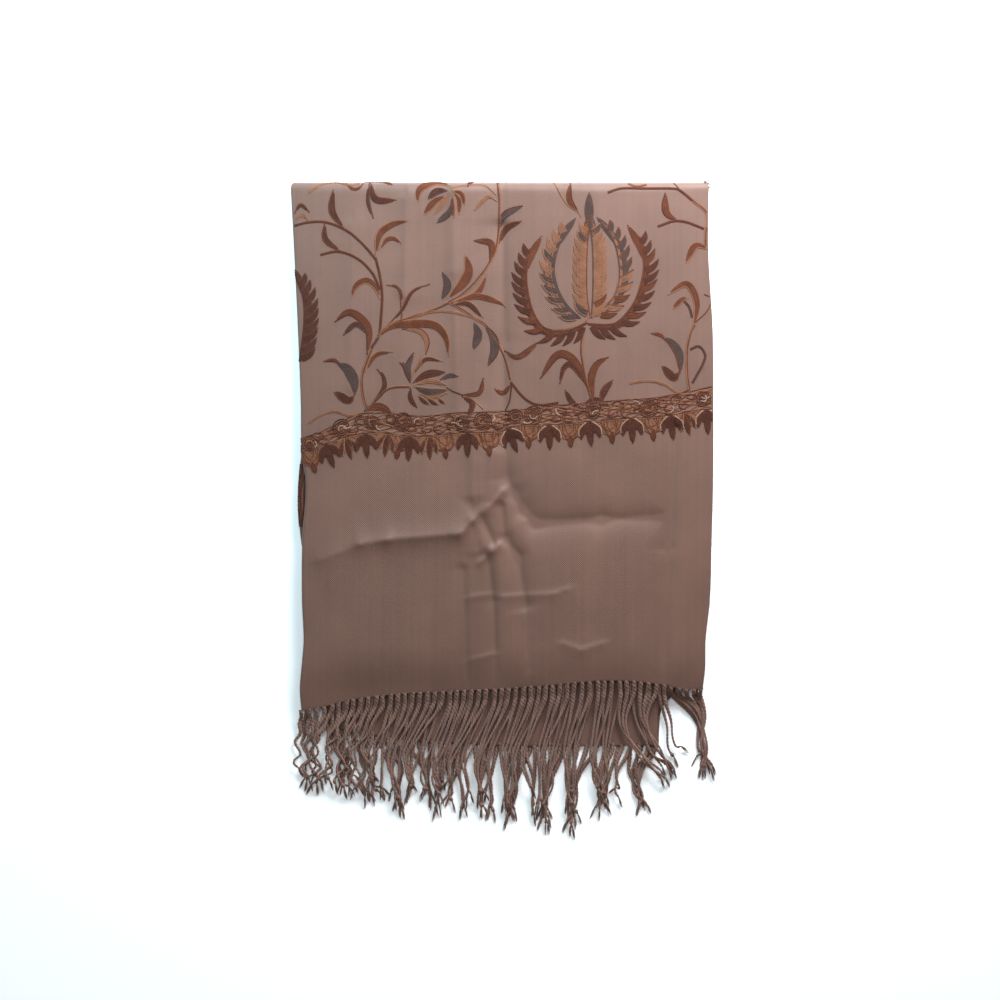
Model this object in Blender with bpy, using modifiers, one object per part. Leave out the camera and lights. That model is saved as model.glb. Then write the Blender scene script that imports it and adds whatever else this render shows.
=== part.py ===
"""Embroidered shawl with fringed ends, folded and lying flat on a table. Metres, +Z up.

The shawl is one rectangle of cloth. It is folded once down its length, so each layer is a pair of
plies joined by a soft fold at the left, with the two selvedges at the right. Folded twice across,
it has both fringed ends at the bottom (-Y) and its folds at the top (+Y). From the table up its
layers are the outer back, the inner back, the inner end and the front end, each ending where the
next one begins: the front end rolls over the top edge into the outer back.
"""

import math
from collections import namedtuple

import bmesh
import bpy
from mathutils import Vector

# Lengths are in millimetres. The x and y of the tables below are measured from a point near the
# middle of the folded cloth; MIDDLE is the middle of the whole outline, which goes to the origin.
MM = 0.001
MIDDLE = Vector((0.1, -3.8, 0.0))

COLLECTION = "embroidered_shawl"
HELPERS = "cutters"

# Cloth and layers.
CLOTH = 1.2  # wall of one ply
PLY_GAP = 0.5  # between the two plies of a layer
PAIR = 2 * CLOTH + PLY_GAP  # a layer: two plies
REST_GAP = 0.3  # between a layer and the next
LAYER_STEP = PAIR + REST_GAP
LAYERS = 4
STACK = LAYERS * LAYER_STEP - REST_GAP  # height of the flat stack
FOLD_RADIUS = PAIR / 2  # outside of the soft fold at the left
TOP_FOLD_RADIUS = STACK / 2  # outside of the fold over the top edge
TOP_EDGE = 297.5  # y of the top fold's outside
TOP_FOLD_START = TOP_EDGE - TOP_FOLD_RADIUS
SELVEDGE_INSET = 2.5  # how far the under ply's selvedge stays inside the top ply's
HEM_INSET = 1.5  # and its hem
HEM_INSET_SHARE = 0.1  # the share of the height over which the under ply draws in to that hem

# The layers below the front end end in a fold just inside the front hem. The two ends droop off
# that fold down to the table, and the front end bridges a little over the inner one.
INNER_TOP = -146.0  # where the inner end comes out of the hidden layers
BACK_FOLD = -158.0
DROOP = 2 * LAYER_STEP
DROOP_FROM, DROOP_TO = -134.0, -206.0
FRONT_DROOP = DROOP - 0.6
FRONT_DROOP_FROM, FRONT_DROOP_TO = -144.0, -212.0

Edge = namedtuple("Edge", "y left right")
Hem = namedtuple("Hem", "x y")
Tilt = namedtuple("Tilt", "x rise")
Crease = namedtuple("Crease", "x0 y0 x1 y1 rise left_width right_width")

# Outline of the front end, from the top fold down, and of its hem.
FRONT_EDGES = (
    Edge(300, -195.0, 190.4),
    Edge(234, -191.5, 190.0),
    Edge(161, -188.0, 194.0),
    Edge(97, -185.5, 194.6),
    Edge(46, -184.5, 194.6),
    Edge(23, -180.8, 194.4),
    Edge(-5, -181.8, 193.8),
    Edge(-32, -184.0, 193.0),
    Edge(-87, -184.3, 191.4),
    Edge(-124, -182.8, 187.4),
    Edge(-150, -184.8, 187.0),
    Edge(-170, -186.4, 184.9),
    Edge(-195, -184.5, 183.5),
)
FRONT_HEM = (
    Hem(-190, -191.0),
    Hem(-166, -186.5),
    Hem(-140, -180.0),
    Hem(-100, -174.8),
    Hem(-50, -172.0),
    Hem(0, -169.5),
    Hem(45, -166.0),
    Hem(90, -162.0),
    Hem(120, -162.5),
    Hem(150, -166.0),
    Hem(172, -170.5),
    Hem(195, -167.0),
)
# How far the woven lines half way up the front end rise from straight across.
WEFT_TILT = (
    Tilt(-195, -14.0),
    Tilt(-145, -3.0),
    Tilt(-94, 0.0),
    Tilt(0, 8.0),
    Tilt(98, 16.0),
    Tilt(195, 27.0),
)
# Outline of the inner end where it shows below the front hem.
INNER_EDGES = (
    Edge(-140, -176.0, 166.0),
    Edge(-172, -171.0, 160.0),
    Edge(-187, -167.0, 148.0),
    Edge(-205, -164.0, 145.5),
    Edge(-225, -162.0, 145.0),
)
INNER_HEM = (
    Hem(-168, -201.0),
    Hem(-131, -209.0),
    Hem(-94, -214.0),
    Hem(-48, -218.0),
    Hem(17, -221.0),
    Hem(150, -220.5),
)
# Outline of the hidden layers, which bulge past the front end at the left.
CORE_EDGES = (
    Edge(294, -192.5, 187.0),
    Edge(161, -186.0, 190.5),
    Edge(75, -183.5, 191.5),
    Edge(30, -187.5, 191.0),
    Edge(0, -188.5, 190.5),
    Edge(-30, -186.5, 189.5),
    Edge(-60, -182.0, 188.0),
    Edge(-110, -180.0, 180.0),
    Edge(-158, -175.0, 165.0),
)

# Fold lines pressed into the front end, each from (x0, y0) to (x1, y1): a low ridge where rise is
# positive, a valley where it is negative. It fades over its own width on each side, as seen along
# the way it runs.
CREASES = (
    Crease(2, 298, 2, 150, -1.1, 11, 14),  # long middle fold, through the embroidery
    Crease(2, 150, 3, 60, -1.5, 11, 14),
    Crease(3, 60, 5, 26, -2.2, 11, 13),  # it swings right below the border
    Crease(5, 26, 20, 2, -2.5, 13, 12),
    Crease(20, 2, 33, -15, -2.5, 14, 12),
    Crease(33, -15, 92, -10, -2.4, 10, 24),  # cross fold on the right
    Crease(92, -10, 150, -8, -2.0, 10, 24),
    Crease(-28, -15, -96, -26, 2.8, 16, 10),  # cross fold on the left
    Crease(-96, -26, -140, -35, 2.3, 16, 10),
    Crease(-140, -35, -178, -50, 1.7, 17, 10),
    Crease(-28, -15, -11, 42, 1.7, 9, 13),  # it swings up to the middle
    Crease(3, -30, 15, -48, -2.2, 9, 10),  # crossing at the middle
    Crease(15, -48, 22, -92, -2.1, 10, 12),
    Crease(22, -92, 24, -150, -1.1, 10, 12),
    Crease(-12, -46, -8, -88, -2.2, 9, 12),  # lower middle fold
    Crease(-8, -88, -5, -160, -1.9, 9, 12),
    Crease(-40, 70, -38, 10, 1.3, 10, 14),  # short ridge left of the middle
    Crease(152, 60, 154, -60, -1.3, 10, 13),  # pressed lines near the selvedge
    Crease(154, -60, 150, -155, -0.9, 10, 13),
    Crease(180, 60, 179, -140, 1.2, 10, 9),
    Crease(-96, 280, -104, 80, 1.2, 16, 20),  # soft folds under the embroidery
    Crease(-46, 285, -44, 90, 1.3, 13, 18),
    Crease(-150, 250, -146, 110, 1.0, 18, 18),
    Crease(88, 285, 94, 80, 0.9, 28, 30),
)
SECOND_CREASE = 0.4  # how much of a lower ridge shows where two meet
CREASE_FLAT = Edge(0, 14, 10)  # the creases die out this far inside the left and right edges
TAIL_SHARE, TAIL = 0.6, 3.0  # and past their ends, over this share of their width and some more
CREASE_LAST_ROW = 1.6  # and over the top fold by this row
LOFT = 2.7  # how high the middle of the front end stands over its edges
LOFT_HALF_WIDTH = 190
LOFT_FROM, LOFT_TO = -175, -120  # it grows over these y

# Columns and rows of the walls, as shares of their width and height, closest where the cloth is
# creased: each span runs on to a share, in a number of steps.
Span = namedtuple("Span", "to steps")
FRONT_COLUMNS = (Span(0.12, 3), Span(0.40, 6), Span(0.58, 9), Span(0.82, 4), Span(1.0, 4))
FRONT_ROWS = (Span(0.06, 3), Span(0.26, 4), Span(0.38, 7), Span(0.52, 3), Span(1.0, 6))
UNDER_COLUMNS = (Span(1.0, 7),)
INNER_COLUMNS = (Span(1.0, 14),)
INNER_ROWS = (Span(0.4, 3), Span(1.0, 5))
CORE_ROWS = (Span(0.1, 2), Span(0.25, 2), Span(0.6, 6), Span(1.0, 4))
FOLD_STEPS = 5
TOP_FOLD_STEPS = 6
SETTLE_ROUNDS = 3  # each round finds a point's x from its y, and its y again from that x

# The hidden layers, from the table up, each from its bottom end to its top end.
Layer = namedtuple("Layer", "name bottom start end left_inset right_inset")
CORE_LAYERS = (
    Layer("outer_back", 0.0, BACK_FOLD + 3, TOP_FOLD_START - 2 * REST_GAP, 1.6, 1.0),
    Layer("inner_back", LAYER_STEP, BACK_FOLD + 3, TOP_FOLD_START, 0.0, 2.6),
    Layer("inner_front", 2 * LAYER_STEP, INNER_TOP + REST_GAP, TOP_FOLD_START, 0.8, 0.0),
)
SELVEDGE_SLOT = 3.0  # how deep the gap between two selvedges runs
SELVEDGE_STEP = 0.8  # how far the lower selvedge stays inside the upper one
HEART_INSET = 9.0  # the layers are pressed together this far inside their edges
HEART_COVER = 1.0  # how much of the lowest and highest layer is outside the pressed middle
FOLD_INSET = 2.0  # the cross folds stop short of the layers' sides
FOLD_TRIM = 0.05  # and of their faces
TOP_FOLD_TRIM = 0.2  # and the top one of the layers' ends

# The fringes, one for each ply: a narrow roll beside its hem carries the strands.
Fringe = namedtuple("Fringe", "name end under left right strands bunch phase reach lean")
Reach = namedtuple("Reach", "x more")
STRAND_RADIUS = 0.9
STRAND_STEP = 2 * STRAND_RADIUS + REST_GAP
STRAND_CLEARANCE = 0.1
STRAND_STEPS = 5
ROLL_RADIUS = 0.55
UNDER_ROOT_INSET = 0.5  # how far the under ply's roll stays behind the top one's
ROLL_END = 2.0  # how far the roll runs on past its last strand
FRINGE_LENGTH = 88
LENGTH_CHANGE, LENGTH_TURN = 0.06, 2.4  # neighbours differ a little in length
BUNCH_WIDTH = 34.0
BUNCH_SHIFT = 9.0  # how far the bunches move along the hem with the phase
GATHERED = 0.55  # share of its length at which a strand has reached its bunch
LOOSENED, LOOSEN_FROM = 0.35, 0.6  # how much a bunch opens again, from that share on
WAVE, WAVE_WIDTH, WAVE_TURNS = 4.0, 210.0, 0.9
CURL, CURL_WIDTH, CURL_TURNS = 2.2, 120.0, 1.6
ROOT_THICKNESS, ROOT_SHARE = 0.62, 0.2  # a strand is thinner over this first share of its length
TIP_THINNING, TIP_FROM = 0.2, 0.85
LAID = 0.16  # share of its length at which a strand has come down to what it lies on
FRONT_REACH = (Reach(-186, 6), Reach(-120, 8), Reach(-60, 0), Reach(120, 0), Reach(186, 6))
INNER_REACH = (
    Reach(-165, -24),
    Reach(-90, -18),
    Reach(0, -13),
    Reach(60, -9),
    Reach(95, -18),
    Reach(145, -40),
)
SWAY = (Reach(-186, -2), Reach(-60, 4), Reach(60, -3), Reach(140, 6), Reach(186, 8))
OTHER_SWAY = (Reach(-168, 3), Reach(-60, -3), Reach(60, 3), Reach(145, 2))
FRINGES = (
    Fringe("fringe_front", "front", False, -181, 181, 45, 0.62, 0.0, FRONT_REACH, SWAY),
    Fringe("fringe_front_under", "front", True, -178, 178, 36, 0.5, 2.1, FRONT_REACH, OTHER_SWAY),
    Fringe("fringe_inner", "inner", False, -160, 141, 37, 0.62, 1.2, INNER_REACH, OTHER_SWAY),
    Fringe("fringe_inner_under", "inner", True, -158, 139, 30, 0.5, 3.3, INNER_REACH, SWAY),
)
# Where the front end's strands lie over the inner end, and where they lie on the table beside it.
BESIDE_LEFT, OVER_LEFT, OVER_RIGHT, BESIDE_RIGHT = -182, -168, 156, 172
INNER_HEM_FROM, INNER_HEM_TO = -215, -222

BAR_RESOLUTION = 4
WELD = 0.01  # points this close are made one where a curve's ends are filled
SHARP_ANGLE = math.radians(50)


def table_value(rows, key, value, at):
    """The smooth curve through a table's points, held level past its ends."""
    points = sorted((getattr(row, key), getattr(row, value)) for row in rows)
    if at <= points[0][0]:
        return points[0][1]
    if at >= points[-1][0]:
        return points[-1][1]
    index = max(i for i, (place, _) in enumerate(points) if place <= at)
    (x0, y0), (x1, y1) = points[index], points[index + 1]
    before = points[max(index - 1, 0)]
    after = points[min(index + 2, len(points) - 1)]
    span = x1 - x0
    slope0 = span * (y1 - before[1]) / (x1 - before[0])
    slope1 = span * (after[1] - y0) / (after[0] - x0)
    t = (at - x0) / span
    ease = t * t * (3 - 2 * t)
    return y0 + (y1 - y0) * ease + t * (1 - t) * (slope0 * (1 - t) - slope1 * t)


def smooth_step(low, high, at):
    """0 before low, 1 past high, and an even curve between. Low may be the greater."""
    t = min(1.0, max(0.0, (at - low) / (high - low)))
    return t * t * (3 - 2 * t)


def shares(spans):
    """The shares from 0 to 1 that a row of spans describes."""
    found = [0.0]
    for span in spans:
        start = found[-1]
        found += [start + (span.to - start) * (i + 1) / span.steps for i in range(span.steps)]
    return found


def crease_rise(crease, x, y):
    """How far one crease lifts or lowers the cloth at (x, y)."""
    run_x, run_y = crease.x1 - crease.x0, crease.y1 - crease.y0
    length = math.hypot(run_x, run_y)
    run_x, run_y = run_x / length, run_y / length
    along = (x - crease.x0) * run_x + (y - crease.y0) * run_y
    aside = (y - crease.y0) * run_x - (x - crease.x0) * run_y
    width = crease.left_width if aside > 0 else crease.right_width
    past = max(0.0, -along, along - length)
    end_width = TAIL_SHARE * width + TAIL
    return crease.rise * math.exp(-((aside / width) ** 2) - (past / end_width) ** 2)


def front_rise(x, y, left, right):
    """How far the front end stands above its flat level."""
    loft = LOFT * max(0.0, 1 - (x / LOFT_HALF_WIDTH) ** 4) * smooth_step(LOFT_FROM, LOFT_TO, y)
    rises = sorted(crease_rise(crease, x, y) for crease in CREASES)
    deepest, second, first = min(rises[0], 0.0), rises[-2], rises[-1]
    fade = smooth_step(left, left + CREASE_FLAT.left, x)
    fade *= smooth_step(right, right - CREASE_FLAT.right, x)
    return max(0.0, loft + fade * (first + SECOND_CREASE * max(second, 0.0) + deepest))


def droop(y):
    return DROOP * smooth_step(DROOP_FROM, DROOP_TO, y)


def front_level(y):
    """Height of the front end's top face where no crease lifts it."""
    return STACK - FRONT_DROOP * smooth_step(FRONT_DROOP_FROM, FRONT_DROOP_TO, y)


def inner_level(y):
    """Height of the inner end's top face."""
    return STACK - LAYER_STEP - droop(y)


def grid_object(name, columns, rows, place, material):
    """An open surface with a point for each column and row, thickened inwards to the cloth's wall."""
    mesh = bpy.data.meshes.new(name)
    grid = bmesh.new()
    bmesh.ops.create_grid(grid, x_segments=len(columns) - 1, y_segments=len(rows) - 1, size=0.5)
    for vertex in grid.verts:
        column = round((vertex.co.x + 0.5) * (len(columns) - 1))
        row = round((vertex.co.y + 0.5) * (len(rows) - 1))
        vertex.co = Vector(place(columns[column], rows[row])) * MM
    grid.to_mesh(mesh)
    grid.free()
    mesh.shade_smooth()
    mesh.set_sharp_from_angle(angle=SHARP_ANGLE)
    piece = piece_of(name, mesh, material)
    wall = piece.modifiers.new("wall", "SOLIDIFY")
    wall.thickness = CLOTH * MM
    wall.offset = 1
    wall.use_even_offset = True
    return piece


def pair_columns(top_spans, under_spans):
    """Columns of a folded pair of plies: 1 to 0 is the top ply from its selvedge to the fold, 0 to
    -1 the fold itself, and -1 to -2 the under ply back to its selvedge."""
    columns = sorted(shares(top_spans), reverse=True)
    columns += [-(i + 1) / FOLD_STEPS for i in range(FOLD_STEPS)]
    columns += [-1 - share for share in shares(under_spans)[1:]]
    return columns


def across_pair(column, left, right):
    """The x of a column of a folded pair, and its depth below the pair's top face."""
    start = left + FOLD_RADIUS
    if column >= 0:
        return start + (right - start) * column, 0.0
    if column >= -1:
        turn = -column * math.pi
        return start - FOLD_RADIUS * math.sin(turn), FOLD_RADIUS * (1 - math.cos(turn))
    return start + (right - SELVEDGE_INSET - start) * (-1 - column), PAIR


def front_line(x, share):
    """The y of the woven line at a share of the way from the front hem to the top fold."""
    hem = table_value(FRONT_HEM, "x", "y", x)
    tilt = table_value(WEFT_TILT, "x", "rise", x) * math.sin(math.pi * share)
    return hem + (TOP_FOLD_START - hem) * share + tilt


def hem_inset(depth, share):
    """How much the under ply is shorter than the top one, near the hem."""
    return HEM_INSET * depth / PAIR * smooth_step(HEM_INSET_SHARE, 0, share)


def front_point(column, row):
    """A point on the outside of the front end: rows 0 to 1 run from the hem to the top fold, and 1
    to 2 over that fold down to the table."""
    share = min(row, 1.0)
    y = TOP_FOLD_START * share + FRONT_HEM[0].y * (1 - share)
    for _ in range(SETTLE_ROUNDS):
        left = table_value(FRONT_EDGES, "y", "left", y)
        right = table_value(FRONT_EDGES, "y", "right", y)
        x, depth = across_pair(column, left, right)
        y = front_line(x, share)
    y += hem_inset(depth, share)
    rise = front_rise(x, y, left, right) if column >= 0 else 0.0
    if row <= 1:
        return x, y, front_level(y) + rise - depth
    turn = (row - 1) * math.pi
    reach = TOP_FOLD_RADIUS - depth + rise * smooth_step(CREASE_LAST_ROW, 1, row)
    return x, y + reach * math.sin(turn), TOP_FOLD_RADIUS + reach * math.cos(turn)


def front_panel(material):
    over_fold = [1 + (i + 1) / TOP_FOLD_STEPS for i in range(TOP_FOLD_STEPS)]
    columns = pair_columns(FRONT_COLUMNS, UNDER_COLUMNS)
    return grid_object("front_panel", columns, shares(FRONT_ROWS) + over_fold, front_point, material)


def inner_point(column, row):
    """A point on the outside of the inner end, from its hem (row 0) to the hidden layers (row 1)."""
    y = INNER_TOP * row + INNER_HEM[-1].y * (1 - row)
    for _ in range(SETTLE_ROUNDS):
        left = table_value(INNER_EDGES, "y", "left", y)
        right = table_value(INNER_EDGES, "y", "right", y)
        x, depth = across_pair(column, left, right)
        hem = table_value(INNER_HEM, "x", "y", x)
        y = hem + (INNER_TOP - hem) * row
    y += hem_inset(depth, row)
    return x, y, inner_level(y) - depth


def inner_panel(material):
    columns = pair_columns(INNER_COLUMNS, UNDER_COLUMNS)
    return grid_object("inner_panel", columns, shares(INNER_ROWS), inner_point, material)


def core_edges(y, layer):
    left = table_value(CORE_EDGES, "y", "left", y) + layer.left_inset
    return left, table_value(CORE_EDGES, "y", "right", y) - layer.right_inset


def layer_ring(y, layer):
    """The outline of one hidden layer cut across at y: a soft fold at the left, and at the right
    two selvedges with the gap between them."""
    left, right = core_edges(y, layer)
    middle = layer.bottom + PAIR / 2
    ring = []
    for step in range(FOLD_STEPS + 1):
        turn = math.pi * (0.5 + step / FOLD_STEPS)
        x = left + FOLD_RADIUS * (1 + math.cos(turn))
        ring.append((x, middle + FOLD_RADIUS * math.sin(turn)))
    gap_low, gap_high = middle - PLY_GAP / 2, middle + PLY_GAP / 2
    return ring + [
        (right - SELVEDGE_STEP, layer.bottom),
        (right - SELVEDGE_STEP, gap_low),
        (right - SELVEDGE_SLOT, gap_low),
        (right - SELVEDGE_SLOT, gap_high),
        (right, gap_high),
        (right, layer.bottom + PAIR),
    ]


def settled(y, z):
    """z near the bottom fold, which is pressed flatter under the two ends as they droop."""
    if z > DROOP:
        return z - droop(y)
    return z * (1 - droop(y) / DROOP)


def layer_slab(layer):
    """One hidden layer as a closed loft of its outline from its bottom end to its top end."""
    loft = bmesh.new()
    rings = []
    for share in shares(CORE_ROWS):
        y = layer.start + (layer.end - layer.start) * share
        ring = [Vector((x, y, settled(y, z))) * MM for x, z in layer_ring(y, layer)]
        rings.append([loft.verts.new(point) for point in ring])
    for before, after in zip(rings, rings[1:]):
        for index in range(len(before)):
            beside = (index + 1) % len(before)
            loft.faces.new((before[index], before[beside], after[beside], after[index]))
    loft.faces.new(rings[0])
    loft.faces.new(rings[-1])
    bmesh.ops.recalc_face_normals(loft, faces=loft.faces)
    mesh = bpy.data.meshes.new(layer.name)
    loft.to_mesh(mesh)
    loft.free()
    return mesh


def pressed_middle(lowest, highest):
    """The middle of the hidden layers, where they lie pressed together."""
    block = bmesh.new()
    bmesh.ops.create_cube(block, size=1)
    for vertex in block.verts:
        side = vertex.co.copy()
        y = highest.start + HEART_INSET if side.y < 0 else lowest.end - HEART_INSET
        left, right = core_edges(y, highest)
        x = left + HEART_INSET if side.x < 0 else right - HEART_INSET
        z = (lowest if side.z < 0 else highest).bottom + HEART_COVER
        vertex.co = Vector((x, y, z)) * MM
    mesh = bpy.data.meshes.new("pressed_middle")
    block.to_mesh(mesh)
    block.free()
    return mesh


def cross_fold(name, layer, y, z, radius):
    """A fold across the hidden layers, as a round bar along it."""
    left, right = core_edges(y, layer)
    ends = ((left + FOLD_INSET, y, z), (right - FOLD_INSET, y, z))
    return curve_mesh(name, [[(end, 1.0) for end in ends]], radius, BAR_RESOLUTION)


def folded_layers(material):
    outer_back, inner_back, inner_front = CORE_LAYERS
    core = piece_of("folded_layers", layer_slab(outer_back), material)
    join(core, pressed_middle(outer_back, inner_front))
    join(core, layer_slab(inner_back))
    join(core, layer_slab(inner_front))
    top_radius = (inner_front.bottom + PAIR - inner_back.bottom) / 2
    top_middle = inner_back.bottom + top_radius
    top = (inner_front.end - TOP_FOLD_TRIM, top_middle, top_radius - FOLD_TRIM)
    join(core, cross_fold("top_fold", inner_front, *top))
    bottom_radius = settled(BACK_FOLD, inner_back.bottom + PAIR) / 2
    bottom = (inner_back.start, bottom_radius, bottom_radius - FOLD_TRIM)
    join(core, cross_fold("bottom_fold", inner_back, *bottom))
    return core


def curve_mesh(name, lines, radius, resolution):
    """Round bars along lines of (point, thickness), with filled ends, as one mesh."""
    curve = bpy.data.curves.new(name, "CURVE")
    curve.dimensions = "3D"
    curve.bevel_depth = radius * MM
    curve.bevel_resolution = resolution
    curve.use_fill_caps = True
    for line in lines:
        spline = curve.splines.new("POLY")
        spline.points.add(len(line) - 1)
        for point, (place, thickness) in zip(spline.points, line):
            point.co = (*(Vector(place) * MM), 1)
            point.radius = thickness
    drawn = bpy.data.objects.new(name, curve)
    bpy.data.collections[COLLECTION].objects.link(drawn)
    graph = bpy.context.evaluated_depsgraph_get()
    mesh = bpy.data.meshes.new_from_object(drawn.evaluated_get(graph))
    bpy.data.objects.remove(drawn)
    cleaned = bmesh.new()
    cleaned.from_mesh(mesh)
    bmesh.ops.remove_doubles(cleaned, verts=cleaned.verts, dist=WELD * MM)
    bmesh.ops.recalc_face_normals(cleaned, faces=cleaned.faces)
    cleaned.to_mesh(mesh)
    cleaned.free()
    mesh.name = name
    return mesh


def piece_of(name, mesh, material):
    mesh.materials.clear()
    mesh.materials.append(material)
    piece = bpy.data.objects.new(name, mesh)
    piece.location = -MIDDLE * MM
    bpy.data.collections[COLLECTION].objects.link(piece)
    return piece


def join(piece, mesh):
    """Joins a mesh to a piece with a Boolean union."""
    joined = bpy.data.objects.new(mesh.name, mesh)
    joined.location = piece.location
    joined.hide_render = True
    joined.display_type = "WIRE"
    bpy.data.collections[HELPERS].objects.link(joined)
    union = piece.modifiers.new(mesh.name, "BOOLEAN")
    union.operation = "UNION"
    union.solver = "EXACT"
    union.object = joined


def strand_root(fringe, x):
    """Where a strand leaves its hem, on the roll that lies just clear of the cloth's edge."""
    hem = FRONT_HEM if fringe.end == "front" else INNER_HEM
    level = front_level if fringe.end == "front" else inner_level
    y = table_value(hem, "x", "y", x) - REST_GAP - ROLL_RADIUS
    if fringe.under:
        return Vector((x, y + UNDER_ROOT_INSET, level(y) - PAIR + CLOTH / 2))
    return Vector((x, y, level(y) - CLOTH / 2))


def lying_height(fringe, x, y):
    """The height of a strand where it lies: over the inner end, over its strands, or on the table."""
    below = 0.0
    if fringe.end == "front":
        cloth = inner_level(y) * smooth_step(INNER_HEM_TO, INNER_HEM_FROM, y)
        over = smooth_step(BESIDE_LEFT, OVER_LEFT, x) * smooth_step(BESIDE_RIGHT, OVER_RIGHT, x)
        below = max(cloth, 2 * STRAND_STEP) * over
    if not fringe.under:
        below += STRAND_STEP
    return below + STRAND_RADIUS + STRAND_CLEARANCE


def strand_line(fringe, x, index):
    """The points of one strand with their thickness. Neighbours wave together and gather in
    bunches, always a little apart."""
    root = strand_root(fringe, x)
    length = FRINGE_LENGTH * (1 + LENGTH_CHANGE * math.sin(LENGTH_TURN * index + fringe.phase))
    length += table_value(fringe.reach, "x", "more", x)
    sway = table_value(fringe.lean, "x", "more", x)
    bunch_turn = 2 * math.pi * (x + BUNCH_SHIFT * fringe.phase) / BUNCH_WIDTH
    wave_turn = 2 * math.pi * x / WAVE_WIDTH + fringe.phase
    curl_turn = 2 * math.pi * x / CURL_WIDTH + fringe.phase
    line = []
    for step in range(STRAND_STEPS + 1):
        t = step / STRAND_STEPS
        bunch = fringe.bunch * smooth_step(0, GATHERED, t)
        bunch *= 1 - LOOSENED * smooth_step(LOOSEN_FROM, 1, t)
        aside = -bunch * BUNCH_WIDTH / (2 * math.pi) * math.sin(bunch_turn)
        wave = math.sin(wave_turn + 2 * math.pi * WAVE_TURNS * t) - math.sin(wave_turn)
        curl = math.sin(curl_turn + 2 * math.pi * CURL_TURNS * t)
        spot = Vector((x + aside + t * (WAVE * wave + CURL * curl + sway), root.y - length * t, 0))
        lying = lying_height(fringe, spot.x, spot.y)
        spot.z = root.z + (lying - root.z) * smooth_step(0, LAID, t)
        thickness = ROOT_THICKNESS + (1 - ROOT_THICKNESS) * smooth_step(0, ROOT_SHARE, t)
        thickness -= TIP_THINNING * smooth_step(TIP_FROM, 1, t)
        line.append((spot, thickness))
    return line


def fringe_piece(fringe, material):
    pitch = (fringe.right - fringe.left) / (fringe.strands - 1)
    roots = [fringe.left + pitch * index for index in range(fringe.strands)]
    roll_run = [fringe.left - ROLL_END, *roots, fringe.right + ROLL_END]
    roll_line = [(strand_root(fringe, x), 1.0) for x in roll_run]
    roll = curve_mesh(fringe.name, [roll_line], ROLL_RADIUS, 0)
    lines = [strand_line(fringe, x, index) for index, x in enumerate(roots)]
    piece = piece_of(fringe.name, roll, material)
    join(piece, curve_mesh(fringe.name + "_strands", lines, STRAND_RADIUS, 0))
    return piece


def new_material(name, colour, roughness):
    material = bpy.data.materials.new(name)
    material.use_nodes = True
    surface = material.node_tree.nodes["Principled BSDF"]
    surface.inputs["Base Color"].default_value = (*colour, 1)
    surface.inputs["Roughness"].default_value = roughness
    surface.inputs["Metallic"].default_value = 0
    return material


def main():
    for old in list(bpy.data.objects):
        bpy.data.objects.remove(old)
    scene = bpy.context.scene.collection
    for name in (COLLECTION, HELPERS):
        scene.children.link(bpy.data.collections.new(name))
    bpy.data.collections[HELPERS].hide_render = True
    twill = new_material("twill", (0.30, 0.22, 0.19), 0.85)
    shaded_twill = new_material("shaded_twill", (0.20, 0.14, 0.12), 0.88)
    twisted_yarn = new_material("twisted_yarn", (0.24, 0.18, 0.15), 0.8)
    front_panel(twill)
    inner_panel(shaded_twill)
    folded_layers(shaded_twill)
    for fringe in FRINGES:
        fringe_piece(fringe, twisted_yarn)


main()
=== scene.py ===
"""Looks of the embroidered shawl: twill cloth, chain-stitch embroidery and twisted fringes, on a
pale floor in soft light, laid out as an add-on. Lengths in the tables are millimetres, measured
from a point near the middle of the folded front end as seen from above; OFFSET takes them to the
frame."""

import math
from collections import namedtuple

import bpy
import numpy as np
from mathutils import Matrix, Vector


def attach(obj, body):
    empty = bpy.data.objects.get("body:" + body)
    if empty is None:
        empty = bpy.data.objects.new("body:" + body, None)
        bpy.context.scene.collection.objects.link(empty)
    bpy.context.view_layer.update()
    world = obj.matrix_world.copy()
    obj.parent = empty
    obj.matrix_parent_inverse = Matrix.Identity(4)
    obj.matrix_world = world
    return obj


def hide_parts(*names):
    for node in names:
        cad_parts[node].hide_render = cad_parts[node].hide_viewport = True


bl_info = {
    "name": "Embroidered shawl",
    "version": (1, 0, 0),
    "blender": (4, 5, 0),
    "location": "View3D > Sidebar > Shawl",
    "description": "Builds a folded, embroidered and fringed shawl on a table",
    "category": "Add Mesh",
}

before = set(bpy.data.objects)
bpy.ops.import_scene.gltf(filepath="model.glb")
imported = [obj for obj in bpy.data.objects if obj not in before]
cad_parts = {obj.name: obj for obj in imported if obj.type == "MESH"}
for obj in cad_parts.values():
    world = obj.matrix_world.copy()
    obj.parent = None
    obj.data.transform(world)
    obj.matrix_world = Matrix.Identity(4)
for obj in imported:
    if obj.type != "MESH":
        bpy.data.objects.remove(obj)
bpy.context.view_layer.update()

MM = 0.001
OFFSET = np.array((-0.1, 3.8, 0.0))
BODY = "root"
COLLECTION = "shawl_looks"
VIEW_WIDTH = 920.0  # what the picture's width shows
VIEW_MIDDLE = (-1.84, 4.6)

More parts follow.
